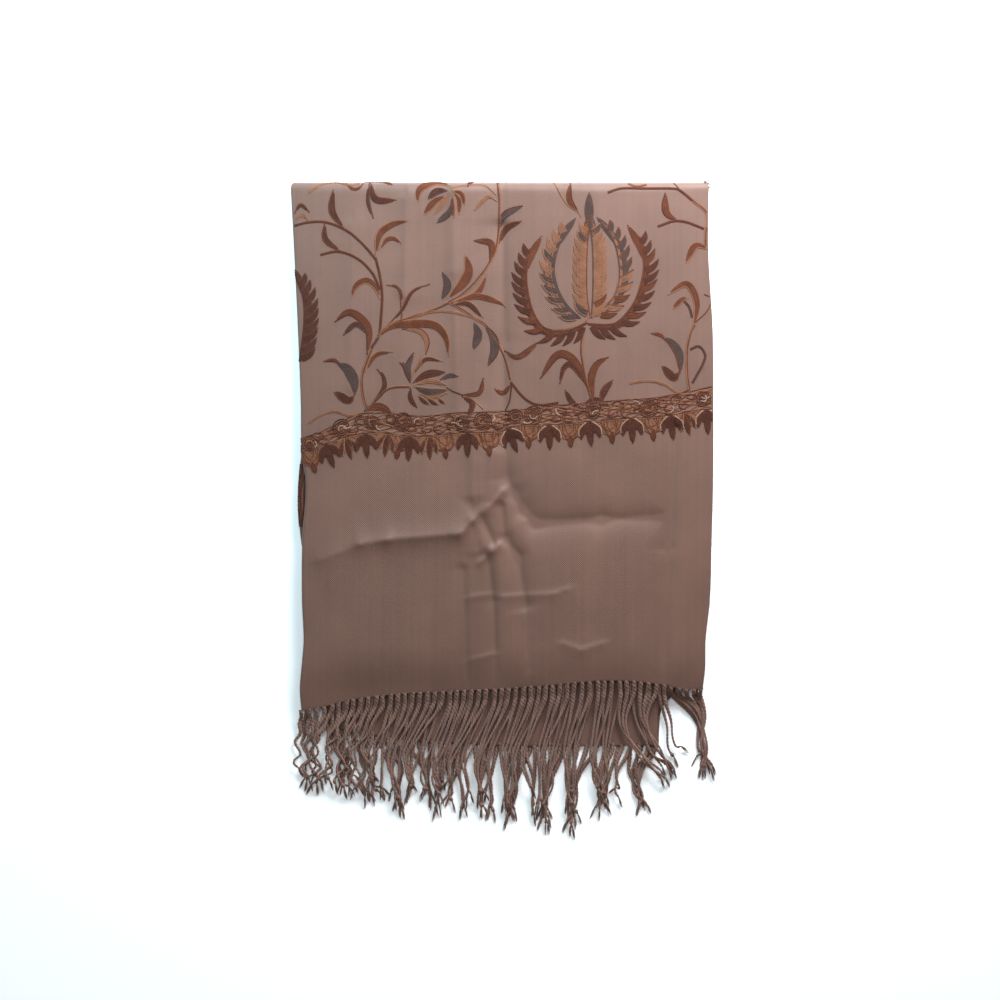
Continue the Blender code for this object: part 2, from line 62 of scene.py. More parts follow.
# The folded layers, as in the frame.
CLOTH, PLY_GAP = 1.2, 0.5  # wall of one ply, and the gap between the two plies of a layer
PIECE_GAP = 0.3  # between a layer and the next, and between pieces along the sheet
PAIR = 2 * CLOTH + PLY_GAP
LAYER_STEP = PAIR + PIECE_GAP
STACK = 4 * LAYER_STEP - PIECE_GAP
FOLD_RADIUS = PAIR / 2
HIDDEN_FOLD_RADIUS = 1.22  # the hidden layers lie a little closer, to leave room for stitches
TOP_RADIUS = STACK / 2
TOP_EDGE = 297.5
TOP_START = TOP_EDGE - TOP_RADIUS
UNDERSIDE = 0.9  # the cloth stays this far above the table, and its stitches fill that gap
BACK_FOLD = -155.0
BACK_FOLD_RADIUS = 2.6
NOSE_RADIUS = 0.15
INNER_TOP = -146.0
SELVEDGE_INSET = 2.5  # how far the under ply's selvedge stays inside the top ply's
HEM_INSET = 1.5  # and its hem
HEM_INSET_SHARE = 0.1  # the share of the height over which the under ply draws in to that hem
DROOP = 2 * LAYER_STEP
DROOP_FROM, DROOP_TO = -134.0, -206.0
FRONT_DROOP = DROOP - 0.6
FRONT_DROOP_FROM, FRONT_DROOP_TO = -144.0, -212.0
LIP = 0.45  # radius of the rounded edge of a ply
LIP_TURN = 2.0  # and how far the edge is turned under
LIP_STEPS = 6

Edge = namedtuple("Edge", "y left right")
Point = namedtuple("Point", "x y")
Tilt = namedtuple("Tilt", "x rise")
Crease = namedtuple("Crease", "x0 y0 x1 y1 rise left_width right_width")
Ripple = namedtuple("Ripple", "height across wander wander_along along slant start")

FRONT_EDGES = (
    Edge(300, -195.0, 190.4),
    Edge(234, -191.5, 190.0),
    Edge(161, -188.0, 194.0),
    Edge(97, -185.5, 194.6),
    Edge(46, -184.5, 194.6),
    Edge(23, -180.8, 194.4),
    Edge(-5, -181.8, 193.8),
    Edge(-32, -184.0, 193.0),
    Edge(-87, -184.3, 191.4),
    Edge(-124, -182.8, 187.4),
    Edge(-150, -184.8, 187.0),
    Edge(-170, -186.4, 184.9),
    Edge(-195, -184.5, 183.5),
)
BACK_EDGES = (
    Edge(294, -190.9, 186.0),
    Edge(161, -184.4, 189.5),
    Edge(75, -181.9, 190.5),
    Edge(30, -185.9, 190.0),
    Edge(0, -186.9, 189.5),
    Edge(-30, -184.9, 188.5),
    Edge(-60, -180.4, 187.0),
    Edge(-110, -178.4, 179.0),
    Edge(-158, -173.4, 164.0),
)
INNER_EDGES = (
    Edge(294, -191.7, 187.0),
    Edge(161, -185.2, 190.5),
    Edge(75, -182.7, 191.5),
    Edge(30, -186.7, 191.0),
    Edge(0, -187.9, 190.5),
    Edge(-30, -185.7, 189.5),
    Edge(-60, -181.2, 188.0),
    Edge(-110, -179.2, 178.0),
    Edge(-140, -176.0, 166.0),
    Edge(-172, -171.0, 160.0),
    Edge(-187, -167.0, 148.0),
    Edge(-205, -164.0, 145.5),
    Edge(-225, -162.0, 145.0),
)
FRONT_HEM = (
    Point(-190, -191.0),
    Point(-166, -186.5),
    Point(-140, -180.0),
    Point(-100, -174.8),
    Point(-50, -172.0),
    Point(0, -169.5),
    Point(45, -166.0),
    Point(90, -162.0),
    Point(120, -162.5),
    Point(150, -166.0),
    Point(172, -170.5),
    Point(195, -167.0),
)
INNER_HEM = (
    Point(-168, -201.0),
    Point(-131, -209.0),
    Point(-94, -214.0),
    Point(-48, -218.0),
    Point(17, -221.0),
    Point(150, -220.5),
)
WEFT_TILT = (
    Tilt(-195, -14.0),
    Tilt(-145, -3.0),
    Tilt(-94, 0.0),
    Tilt(0, 8.0),
    Tilt(98, 16.0),
    Tilt(195, 27.0),
)

# Fold lines pressed into the front end: a ridge where rise is positive, a valley where it is
# negative, with its own width on each side as seen along the line.
CREASES = (
    Crease(1, 300, 1, 255, -1.3, 7, 12),  # long middle fold, through the embroidery
    Crease(1, 255, 1, 150, -3.2, 7, 11),
    Crease(1, 150, 3, 60, -3.0, 6, 11),
    Crease(3, 60, 4.6, 25, -3.0, 8, 10),  # it swings right below the border
    Crease(4.6, 25, 11, 10, -3.2, 10, 8),
    Crease(11, 10, 19, -5, -3.5, 11, 8),
    Crease(19, -5, 31, -17, -3.6, 11, 8),
    Crease(31, -17, 92, -13, -3.6, 9, 13),  # cross fold on the right
    Crease(92, -13, 150, -11, -3.1, 9, 13),
    Crease(-28, -16, -39, -26, 3.2, 8, 10),  # cross fold on the left
    Crease(-39, -26, -105, -32, 3.8, 9, 13),
    Crease(-105, -32, -130, -36, 3.4, 9, 13),
    Crease(-130, -36, -166, -50, 2.4, 10, 14),
    Crease(-28, -15, -14, -2, 2.2, 6, 10),  # it swings up to the middle
    Crease(-14, -2, -9, 46, 1.5, 8, 10),
    Crease(0, -2, 3, -30, -2.2, 5, 9),  # crossing at the middle
    Crease(3, -30, 15, -48, -3.4, 6, 9),
    Crease(15, -48, 22, -92, -3.3, 6, 10),
    Crease(22, -92, 24, -150, -1.7, 7, 10),
    Crease(-27, -18, -22, -40, 2.0, 7, 7),
    Crease(-22, -40, -12, -52, -1.6, 6, 6),
    Crease(-13, -48, -8, -88, -3.3, 4.5, 10),  # lower middle fold
    Crease(-8, -88, -5, -168, -2.8, 4.5, 10),
    Crease(-36, -60, -33, -165, -1.9, 5, 7),
    Crease(-28, 84, -27, 10, 2.2, 14, 6),
    Crease(-21, 40, -20, 10, 1.5, 4, 4),  # small folds where they all meet
    Crease(0, 12, -20, -13, 1.8, 5, 4),
    Crease(-1, 0, 1, -28, -2.0, 4, 4),
    Crease(-18, -13, -8, -34, -2.4, 5, 5),
    Crease(-27, -20, -18, -52, -1.8, 5, 5),
    Crease(-19, -52, -4, -38, 1.8, 5, 4),
    Crease(160, 70, 154, -40, -3.4, 4.5, 11),  # pressed lines near the selvedge
    Crease(154, -40, 150, -160, -2.6, 4.5, 11),
    Crease(187, 120, 188, -50, -2.2, 9, 5),
    Crease(188, -50, 184, -150, -1.8, 9, 5),
    Crease(-88, 280, -90, 195, 2.0, 22, 7),  # soft folds under the embroidery
    Crease(-90, 195, -94, 85, 1.0, 22, 12),
    Crease(-46, 290, -45, 215, 2.0, 20, 7),
    Crease(-45, 215, -40, 80, 1.7, 16, 9),
    Crease(-137, 255, -140, 110, 1.4, 22, 10),
    Crease(88, 285, 94, 80, 1.0, 26, 24),
    Crease(2, -84, 48, -81, 0.9, 1.6, 7),  # small pressed lines
    Crease(48, -81, 60, -77, 0.8, 1.6, 7),
    Crease(-28, -84, -9, -82, 0.9, 1.6, 7),
    Crease(-28, -142, -8, -137, 0.9, 1.6, 7),
    Crease(57, -127, 73, -133, 0.9, 1.6, 7),
    Crease(73, -133, 91, -127, 0.9, 1.6, 7),
)
CREASE_SOFT = 0.5  # how rounded the bottom of a crease is
CREASE_END = 3.0  # how far it fades out past its ends, besides half its width
SECOND_RIDGE, SECOND_VALLEY = 0.4, 0.3  # how much of a lesser crease shows where two meet
LOFT = 3.1  # how high the middle of the front end stands over its edges
LEAST_RISE = 0.15
LOFT_HALF_WIDTH = 192.0
LOFT_STEEPNESS = 6  # of the raised middle's sides
LOFT_FROM, LOFT_TO = -176.0, -130.0
RIPPLES = (
    Ripple(0.25, 31, 1.3, 57, 43, 90, 0),
    Ripple(0.12, 11, 2.0, 83, 61, math.inf, 1),
)


def curve_through(rows, key, value):
    """A function that reads the smooth curve through a table, level past its ends."""
    points = sorted((getattr(row, key), getattr(row, value)) for row in rows)
    xs = np.array([point[0] for point in points], float)
    ys = np.array([point[1] for point in points], float)
    before = np.maximum(np.arange(len(xs)) - 1, 0)
    after = np.minimum(np.arange(len(xs)) + 1, len(xs) - 1)
    slopes = (ys[after] - ys[before]) / (xs[after] - xs[before])

    def read(at):
        at = np.clip(at, xs[0], xs[-1])
        low = np.clip(np.searchsorted(xs, at, "right") - 1, 0, len(xs) - 2)
        span = xs[low + 1] - xs[low]
        t = (at - xs[low]) / span
        bend = slopes[low] * (1 - t) - slopes[low + 1] * t
        return ys[low] + (ys[low + 1] - ys[low]) * t * t * (3 - 2 * t) + t * (1 - t) * span * bend

    return read


front_left = curve_through(FRONT_EDGES, "y", "left")
front_right = curve_through(FRONT_EDGES, "y", "right")
back_left = curve_through(BACK_EDGES, "y", "left")
back_right = curve_through(BACK_EDGES, "y", "right")
inner_left = curve_through(INNER_EDGES, "y", "left")
inner_right = curve_through(INNER_EDGES, "y", "right")
front_hem = curve_through(FRONT_HEM, "x", "y")
inner_hem = curve_through(INNER_HEM, "x", "y")
weft_tilt = curve_through(WEFT_TILT, "x", "rise")

# Where the sheet turns, as lengths along it: v is y on the front end and runs on over the folds.
OVER_TOP = TOP_START + math.pi * TOP_RADIUS
LOW_TURN = OVER_TOP + TOP_START - BACK_FOLD
UP_FROM = LOW_TURN + math.pi * BACK_FOLD_RADIUS
NOSE_TURN = UP_FROM + TOP_START - BACK_FOLD
DOWN_FROM = NOSE_TURN + math.pi * NOSE_RADIUS
INNER_FROM = DOWN_FROM + TOP_START - INNER_TOP
HIDDEN_END = INNER_FROM - PIECE_GAP
CREASES_FADE, CREASES_END = TOP_START - 4, TOP_START + 12
UP_CHANGE, NOSE_CHANGE = 60.0, 20.0  # over these lengths a layer's edges become the next one's


def smooth_step(low, high, at):
    """0 before low, 1 past high, and an even curve between. Low may be the greater."""
    t = np.clip((at - low) / (high - low), 0.0, 1.0)
    return t * t * (3 - 2 * t)


def crease_depth(crease, x, y):
    """How far one crease lifts or lowers the cloth at (x, y)."""
    run_x, run_y = crease.x1 - crease.x0, crease.y1 - crease.y0
    length = math.hypot(run_x, run_y)
    run_x, run_y = run_x / length, run_y / length
    along = (x - crease.x0) * run_x + (y - crease.y0) * run_y
    aside = (y - crease.y0) * run_x - (x - crease.x0) * run_y
    width = np.where(aside > 0, crease.left_width, crease.right_width)
    past = np.maximum(0.0, np.maximum(-along, along - length))
    bend = np.sqrt(aside**2 + CREASE_SOFT**2) - CREASE_SOFT
    return abs(crease.rise) * np.exp(-bend / width - (past / (0.5 * width + CREASE_END)) ** 2)


def ripple_height(ripple, x, y):
    """How far one soft ripple lifts or lowers the cloth at (x, y)."""
    wave = np.sin(x / ripple.across + ripple.wander * np.sin(y / ripple.wander_along))
    return ripple.height * wave * np.sin(y / ripple.along + x / ripple.slant + ripple.start)


def front_rise(x, y):
    """How far the front end stands above its flat level."""
    middle = np.maximum(0.0, 1 - (np.abs(x) / LOFT_HALF_WIDTH) ** LOFT_STEEPNESS)
    share = middle * smooth_step(LOFT_FROM, LOFT_TO, y)
    ridges = np.sort([crease_depth(crease, x, y) for crease in CREASES if crease.rise > 0], axis=0)
    valleys = np.sort([crease_depth(crease, x, y) for crease in CREASES if crease.rise < 0], axis=0)
    rise = LOFT + sum(ripple_height(ripple, x, y) for ripple in RIPPLES)
    rise += ridges[-1] + SECOND_RIDGE * ridges[-2] - valleys[-1] - SECOND_VALLEY * valleys[-2]
    return share * np.maximum(rise, LEAST_RISE)


def along_sheet(v):
    """The y and z of the sheet's outer face at a length v along it, with the way into the layer."""
    top = np.clip((v - TOP_START) / TOP_RADIUS, 0, math.pi)
    low = np.clip((v - LOW_TURN) / BACK_FOLD_RADIUS, 0, math.pi)
    nose = np.clip((v - NOSE_TURN) / NOSE_RADIUS, 0, math.pi)
    y = np.minimum(v, TOP_START) + TOP_RADIUS * np.sin(top)
    y = y - np.clip(v - OVER_TOP, 0, TOP_START - BACK_FOLD) - BACK_FOLD_RADIUS * np.sin(low)
    y = y + np.clip(v - UP_FROM, 0, TOP_START - BACK_FOLD) + NOSE_RADIUS * np.sin(nose)
    y = y - np.maximum(v - DOWN_FROM, 0)
    z = STACK - (TOP_RADIUS - UNDERSIDE / 2) * (1 - np.cos(top))
    z = z + BACK_FOLD_RADIUS * (1 - np.cos(low)) + NOSE_RADIUS * (1 - np.cos(nose))
    turn = top - low + nose
    return y, z, -np.sin(turn), -np.cos(turn)


def side_edges(v):
    """The left and right edges and the fold radius of the layer at a length v along the sheet."""
    y = along_sheet(v)[0]
    back = smooth_step(TOP_START, OVER_TOP, v)
    inner = smooth_step(LOW_TURN, UP_FROM + UP_CHANGE, v)
    under = back * (1 - smooth_step(NOSE_TURN - NOSE_CHANGE, NOSE_TURN, v))
    left = (1 - back) * front_left(y) + back * ((1 - inner) * back_left(y) + inner * inner_left(y))
    right = (1 - back) * front_right(y)
    right = right + back * ((1 - inner) * back_right(y) + inner * inner_right(y))
    return left, right, FOLD_RADIUS + (HIDDEN_FOLD_RADIUS - FOLD_RADIUS) * under


def place(u, v, lift=0.0):
    """Points of the frame for cloth coordinates: u is x on the outer ply and runs on round the
    soft fold to the under ply, v runs along the sheet, and lift is how far outside it they lie."""
    u, v, lift = np.broadcast_arrays(*(np.asarray(part, float) for part in (u, v, lift)))
    y, z, into_y, into_z = along_sheet(v)
    left, _, radius = side_edges(v)
    start = left + radius
    turn = np.clip((start - u) / radius, 0, math.pi)
    past = np.maximum(start - math.pi * radius - u, 0)
    x = np.maximum(u, start) - (radius + lift) * np.sin(turn) + past
    depth = radius - (radius + lift) * np.cos(turn)
    outer = np.cos(np.minimum(turn, math.pi / 2)) * smooth_step(CREASES_END, CREASES_FADE, v)
    y = y + depth * into_y
    z = z + depth * into_z + front_rise(x, y) * outer
    droop = DROOP * smooth_step(DROOP_FROM, DROOP_TO, y)
    front_droop = FRONT_DROOP * smooth_step(FRONT_DROOP_FROM, FRONT_DROOP_TO, y)
    pressed = (UNDERSIDE - z) * droop / DROOP
    z = z + np.where(v < TOP_START, -front_droop, np.where(v > DOWN_FROM, -droop, pressed))
    return (np.stack((x, y, z), axis=-1) + OFFSET) * MM


def looks():
    """The collection that holds what this file makes."""
    found = bpy.data.collections.get(COLLECTION)
    if not found:
        found = bpy.data.collections.new(COLLECTION)
        bpy.context.scene.collection.children.link(found)
    return found


def add_object(name, data):
    """A new object in that collection."""
    made = bpy.data.objects.new(name, data)
    looks().objects.link(made)
    return made


def mesh_piece(name, points, faces, material, maps):
    """A smooth mesh on the shawl's body, from arrays of points and quads and its maps by name."""
    mesh = bpy.data.meshes.new(name)
    mesh.vertices.add(len(points))
    mesh.vertices.foreach_set("co", np.asarray(points, np.float32).ravel())
    mesh.loops.add(faces.size)
    mesh.loops.foreach_set("vertex_index", faces.astype(np.int32).ravel())
    mesh.polygons.add(len(faces))
    mesh.polygons.foreach_set("loop_start", np.arange(0, faces.size, faces.shape[1], dtype=np.int32))
    mesh.update(calc_edges=True)
    mesh.validate()
    for label, values in maps.items():
        layer = mesh.uv_layers.new(name=label)
        layer.data.foreach_set("uv", values[faces.ravel()].astype(np.float32).ravel())
    mesh.materials.append(material)
    mesh.shade_smooth()
    piece = add_object(name, mesh)
    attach(piece, BODY)
    return piece


def grid_faces(rows, columns):
    """Quads between points stored row by row."""
    index = np.arange(rows * columns).reshape(rows, columns)
    corners = (index[:-1, :-1], index[:-1, 1:], index[1:, 1:], index[1:, :-1])
    return np.stack([corner.ravel() for corner in corners], axis=1)


class Graph:
    """Adds nodes to a tree and sets or links their inputs."""

    def __init__(self, tree):
        self.tree = tree

    def add(self, kind, inputs=None, **settings):
        node = self.tree.nodes.new(kind)
        for name, value in settings.items():
            setattr(node, name, value)
        for key, value in (inputs or {}).items():
            if isinstance(value, bpy.types.NodeSocket):
                self.tree.links.new(value, node.inputs[key])
            else:
                node.inputs[key].default_value = value
        return node

    def math(self, operation, first, second=0.0):
        return self.add("ShaderNodeMath", {0: first, 1: second}, operation=operation).outputs[0]

    def noise(self, where, scale, detail=2.0):
        inputs = {"Vector": where, "Scale": scale, "Detail": detail}
        return self.add("ShaderNodeTexNoise", inputs).outputs["Fac"]

    def stretched(self, where, factors):
        inputs = {0: where, 1: factors}
        return self.add("ShaderNodeVectorMath", inputs, operation="MULTIPLY").outputs[0]

    def remap(self, value, low, high, new_low, new_high):
        inputs = {0: value, 1: low, 2: high, 3: new_low, 4: new_high}
        return self.add("ShaderNodeMapRange", inputs).outputs[0]


def node_group(name, inputs, outputs):
    """A new shader node group with its sockets, and the graph, input and output nodes in it."""
    group = bpy.data.node_groups.new(name, "ShaderNodeTree")
    for label, kind, default in inputs:
        socket = group.interface.new_socket(label, in_out="INPUT", socket_type=kind)
        if default is not None:
            socket.default_value = default
    for label, kind in outputs:
        group.interface.new_socket(label, in_out="OUTPUT", socket_type=kind)
    graph = Graph(group)
    return group, graph, graph.add("NodeGroupInput").outputs, graph.add("NodeGroupOutput").inputs


def link_all(group, pairs):
    """Links outputs to inputs inside a group."""
    for output, target in pairs:
        group.links.new(output, target)


# How the noise of a thread is stretched: lengthways it changes this much more slowly.
ALONG_WARP, ALONG_WEFT = (1.0, 0.12, 1.0), (0.12, 1.0, 1.0)
LONG_WARP, LONG_WEFT = (1.0, 0.02, 1.0), (0.03, 1.0, 1.0)
RIB_WANDER = 0.0016


def twill_weave():
    """Height and tone of a fine twill: slanting ribs of thread over an uneven yarn. In the tone, the
    ribs' part is painted shade in the grooves between them, and the yarn's part is its own unevenness.
    """
    name = "Twill weave"
    if name in bpy.data.node_groups:
        return bpy.data.node_groups[name]
    inputs = (
        ("Coordinates", "NodeSocketVector", None),
        ("Rib Spacing", "NodeSocketFloat", 0.002),
        ("Unevenness", "NodeSocketFloat", 0.5),
    )
    outputs = (("Height", "NodeSocketFloat"), ("Tone", "NodeSocketFloat"))
    group, graph, given, result = node_group(name, inputs, outputs)
    where = given["Coordinates"]
    wander = graph.noise(where, scale=90.0, detail=1.0)
    split = graph.add("ShaderNodeSeparateXYZ", {0: where}).outputs
    slant = graph.math("ADD", split["X"], split["Y"])
    slant = graph.math("ADD", slant, graph.math("MULTIPLY", wander, RIB_WANDER))
    rib = graph.math("DIVIDE", graph.math("MULTIPLY", slant, math.tau), given["Rib Spacing"])
    rib = graph.remap(graph.math("SINE", rib), -1.0, 1.0, 0.0, 1.0)
    warp = graph.noise(graph.stretched(where, ALONG_WARP), scale=1500.0, detail=1.0)
    weft = graph.noise(graph.stretched(where, ALONG_WEFT), scale=1300.0, detail=1.0)
    yarn = graph.math("MULTIPLY", graph.math("ADD", warp, weft), given["Unevenness"])
    height = graph.math("ADD", graph.math("MULTIPLY", rib, 0.55), yarn)
    # Painted shade: the ribs' share of the tone is darker in their grooves and lighter on their crests.
    tone = graph.math("ADD", graph.math("MULTIPLY", rib, 0.4), graph.math("MULTIPLY", yarn, 0.6))
    link_all(group, ((height, result["Height"]), (tone, result["Tone"])))
    return group


def dye_variation():
    """A mask of how light the dyed yarn looks: long streaks along the warp and soft patches."""
    name = "Dye variation"
    if name in bpy.data.node_groups:
        return bpy.data.node_groups[name]
    inputs = (
        ("Coordinates", "NodeSocketVector", None),
        ("Streaks", "NodeSocketFloat", 0.5),
        ("Patches", "NodeSocketFloat", 0.5),
    )
    group, graph, given, result = node_group(name, inputs, (("Mask", "NodeSocketFloat"),))
    where = given["Coordinates"]
    streak = graph.noise(graph.stretched(where, LONG_WARP), scale=260.0, detail=2.0)
    cross = graph.noise(graph.stretched(where, LONG_WEFT), scale=330.0, detail=1.0)
    patch = graph.noise(where, scale=16.0, detail=3.0)
    speck = graph.noise(where, scale=900.0, detail=1.0)
    lines = graph.math("ADD", graph.math("MULTIPLY", streak, 0.8), graph.math("MULTIPLY", cross, 0.2))
    mask = graph.math("MULTIPLY", graph.math("SUBTRACT", lines, 0.5), given["Streaks"])
    soft = graph.math("MULTIPLY", graph.math("SUBTRACT", patch, 0.5), given["Patches"])
    grain = graph.math("MULTIPLY", graph.math("SUBTRACT", speck, 0.5), 0.25)
    total = graph.math("ADD", graph.math("ADD", mask, soft), graph.math("ADD", grain, 0.5))
    link_all(group, ((total, result["Mask"]),))
    return group


def spun_fibre():
    """Height and tone of spun fibre that runs along a yarn."""
    name = "Spun fibre"
    if name in bpy.data.node_groups:
        return bpy.data.node_groups[name]
    inputs = (
        ("Coordinates", "NodeSocketVector", None),
        ("Fineness", "NodeSocketFloat", 3000.0),
        ("Stretch", "NodeSocketVector", (1.0, 0.15, 1.0)),
    )
    outputs = (("Height", "NodeSocketFloat"), ("Tone", "NodeSocketFloat"))
    group, graph, given, result = node_group(name, inputs, outputs)
    stretched = graph.stretched(given["Coordinates"], given["Stretch"])
    fibre = graph.noise(stretched, given["Fineness"])
    tone = graph.noise(given["Coordinates"], scale=120.0)
    both = graph.math("ADD", graph.math("MULTIPLY", fibre, 0.5), graph.math("MULTIPLY", tone, 0.5))
    link_all(group, ((fibre, result["Height"]), (both, result["Tone"])))
    return group


def new_surface(name, roughness, sheen=0.0, sheen_tint=(1, 1, 1), gloss=0.3):
    """A material with its graph and its Principled shader, whose even values are set here."""
    material = bpy.data.materials.new(name)
    material.use_nodes = True
    shader = material.node_tree.nodes["Principled BSDF"]
    shader.inputs["Roughness"].default_value = roughness
    shader.inputs["Sheen Weight"].default_value = sheen
    shader.inputs["Sheen Roughness"].default_value = 0.45
    shader.inputs["Sheen Tint"].default_value = (*sheen_tint, 1.0)
    shader.inputs["Specular IOR Level"].default_value = gloss
    return material, Graph(material.node_tree), shader


# The colour sockets of Blender's Mix node, by number, because other kinds share their names.
MIX_FACTOR, MIX_FIRST, MIX_SECOND, MIX_RESULT = 0, 6, 7, 2


def mixed_colour(graph, mask, low, high, dark, light):
    """A colour that runs from dark to light as the mask runs from low to high."""
    share = graph.remap(mask, low, high, 0.0, 1.0)
    inputs = {MIX_FACTOR: share, MIX_FIRST: (*dark, 1.0), MIX_SECOND: (*light, 1.0)}
    return graph.add("ShaderNodeMix", inputs, data_type="RGBA").outputs[MIX_RESULT]


def finish_surface(graph, shader, tint, height, strength, depth):
    """Feeds a shader its colour, and its normal from a height."""
    bump = graph.add("ShaderNodeBump", {"Strength": strength, "Distance": depth, "Height": height})
    graph.tree.links.new(tint, shader.inputs["Base Color"])
    graph.tree.links.new(bump.outputs["Normal"], shader.inputs["Normal"])


def scaled(colour, factor):
    """A colour made darker or lighter."""
    return tuple(min(1.0, channel * factor) for channel in colour)


def twill_material(name, colour, sizes):
    """Brushed twill in one dye, with painted shade between the ribs of its weave, and streaks and soft
    patches in the yarn.
    """
    material, graph, shader = new_surface(name, roughness=0.5, sheen=0.3, sheen_tint=(0.86, 0.90, 0.96))
    where = graph.add("ShaderNodeUVMap", uv_map="Weave").outputs[0]
    woven = {"Coordinates": where, "Rib Spacing": sizes.rib_spacing, "Unevenness": 0.5}
    weave = graph.add("ShaderNodeGroup", woven, node_tree=twill_weave()).outputs
    dyed = {"Coordinates": where, "Streaks": 0.45, "Patches": 0.8}
    dye = graph.add("ShaderNodeGroup", dyed, node_tree=dye_variation()).outputs
    # Painted shade between the weave's ribs, together with the yarn's own unevenness, darkens and
    # lightens the dye.
    rib_shade_and_yarn_tone = graph.math("MULTIPLY", graph.math("SUBTRACT", weave["Tone"], 0.5), 0.55)
    mask = graph.math("ADD", dye["Mask"], rib_shade_and_yarn_tone)
    tint = mixed_colour(graph, mask, 0.1, 0.9, scaled(colour, 0.74), scaled(colour, 1.26))
    finish_surface(graph, shader, tint, weave["Height"], strength=0.42, depth=0.0004)
    return material


def spun_material(surface, colour, uv_map, stretch, shades, strength, depth):
    """Spun fibre in one dye, from dark to light shades of it, on a new surface."""
    material, graph, shader = surface
    where = graph.add("ShaderNodeUVMap", uv_map=uv_map).outputs[0]
    spun = {"Coordinates": where, "Fineness": 2600.0, "Stretch": stretch}
    fibre = graph.add("ShaderNodeGroup", spun, node_tree=spun_fibre()).outputs
    dark, light = (scaled(colour, factor) for factor in shades)
    tint = mixed_colour(graph, fibre["Tone"], 0.3, 0.7, dark, light)
    finish_surface(graph, shader, tint, fibre["Height"], strength, depth)
    return material


# Cloth. A row or a column of a piece is (place, shift, lift).
FOLD_STEPS = 8
FRONT_WIDTH, FRONT_LONGER = 390.0, 1.18  # the front end's width, and its rows for each column
TOP_STEPS = 12  # rows over the top fold
UNDER_COARSER = 4  # the under ply has this many times fewer columns
HIDDEN_STEPS = (64, 10, 64, 6, 80)  # down the back, round the low fold, up, round the nose, down
HIDDEN_COLUMNS = 52
INNER_ROWS, INNER_COLUMNS, INNER_UNDER_COLUMNS = 32, 70, 110
# Painted shade: the hidden layers and the inner end get the cloth's colour darkened by these shares, for
# the shade under the front end and its fringe.
HIDDEN_PAINTED_SHADE, INNER_PAINTED_SHADE = 0.92, 0.97  # of the cloth's colour
BAKE_MARGIN = 0.004


def lip_turns(outwards):
    """Where a turned edge goes: (shift along the cloth, lift) from its hidden end to the ply."""
    turn = np.linspace(math.pi, 0, LIP_STEPS)
    shift = np.concatenate(([-LIP - LIP_TURN], LIP * np.sin(turn) - LIP))
    return outwards * shift, np.concatenate(([-2 * LIP], -LIP * (1 - np.cos(turn))))


def pair_columns(top_steps, under_steps):
    """Columns across a folded pair: places 1 to 0 are the outer ply from its selvedge to the fold,
    0 to -1 the fold, and -1 to -2 the under ply to its own selvedge."""
    steps = ((1, 0, top_steps), (0, -1, FOLD_STEPS), (-1, -2, under_steps))
    places = np.concatenate([np.linspace(first, last, count + 1)[1:] for first, last, count in steps])
    shift, lift = lip_turns(1)
    columns = [(1.0, s, h) for s, h in zip(shift, lift)]
    columns += [(place, 0.0, 0.0) for place in places[:-1]]
    columns += [(-2.0, -s, h) for s, h in zip(shift[::-1], lift[::-1])]
    return np.array(columns)


def across(columns, v):
    """The u of each column, for rows at v."""
    left, right, radius = side_edges(v)
    start = left + radius
    share = columns[:, 0]
    outer = start + (right - start) * np.clip(share, 0, 1)
    fold = math.pi * radius * np.clip(share, -1, 0)
    under = (right - SELVEDGE_INSET - start) * np.clip(share + 1, -1, 0)
    return outer + fold + under + columns[:, 1]


def bake_places(count):
    """Even places across the baked picture for a row of points, inside its margin."""
    return BAKE_MARGIN + (1 - 2 * BAKE_MARGIN) * (np.arange(count) / (count - 1))


def cloth_piece(name, columns, rows, line, material):
    """A stretch of the folded cloth. A row's place is a share of its length, and line gives the v
    of the woven line at a share, for an x."""
    share, shift, row_lift = (rows[:, k][:, None] for k in range(3))
    v = line(np.zeros(len(columns))[None, :], share)
    for _ in range(3):  # x depends on v and v on x, and three rounds settle them
        u = across(columns, v)
        left, _, radius = side_edges(v)
        start = left + radius
        x = np.where(u >= start, u, 2 * start - math.pi * radius - u)
        v = line(x, share)
    under = smooth_step(0.0, -1.0, columns[:, 0])[None, :]
    inset = HEM_INSET * under * smooth_step(HEM_INSET_SHARE, 0.0, share) * (share >= 0)
    v = v + shift + inset
    points = place(u, v, row_lift + columns[:, 2][None, :])
    bake = np.broadcast_arrays(bake_places(len(columns))[None, :], bake_places(len(rows))[:, None])
    maps = {
        "Weave": np.stack((u, v), -1).reshape(-1, 2) * MM,
        "OFBake": np.stack(bake, -1).reshape(-1, 2),
    }
    faces = grid_faces(len(rows), len(columns))
    if v[-1, 0] > v[0, 0]:
        faces = faces[:, ::-1]
    return mesh_piece(name, points.reshape(-1, 3), faces, material, maps)


def plain_rows(shares):
    """Rows with no turned edge."""
    return [(share, 0.0, 0.0) for share in shares]


def hem_rows(outwards):
    """The rows of a hem's turned edge, at share 0."""
    shift, lift = lip_turns(outwards)
    return [(0.0, s, h) for s, h in zip(shift, lift)]


def front_line(x, share):
    """The v of a woven line of the front end: shares 0 to 1 run from hem to top fold, and 1 to 2
    over that fold."""
    hem = front_hem(x)
    below = np.minimum(share, 1.0)
    tilt = weft_tilt(x) * np.sin(math.pi * below)
    over = np.maximum(share - 1, 0) * (OVER_TOP - TOP_START - PIECE_GAP)
    return hem + (TOP_START - hem) * below + tilt + over


def hidden_line(x, share):
    """The v of a woven line of the hidden layers, from the top fold to where the inner end shows."""
    return OVER_TOP + (HIDDEN_END - OVER_TOP) * share + 0 * x


def inner_line(x, share):
    """The v of a woven line of the inner end, from its hem up to the hidden layers."""
    hem = DOWN_FROM + TOP_START - inner_hem(x)
    return hem + (INNER_FROM - hem) * share


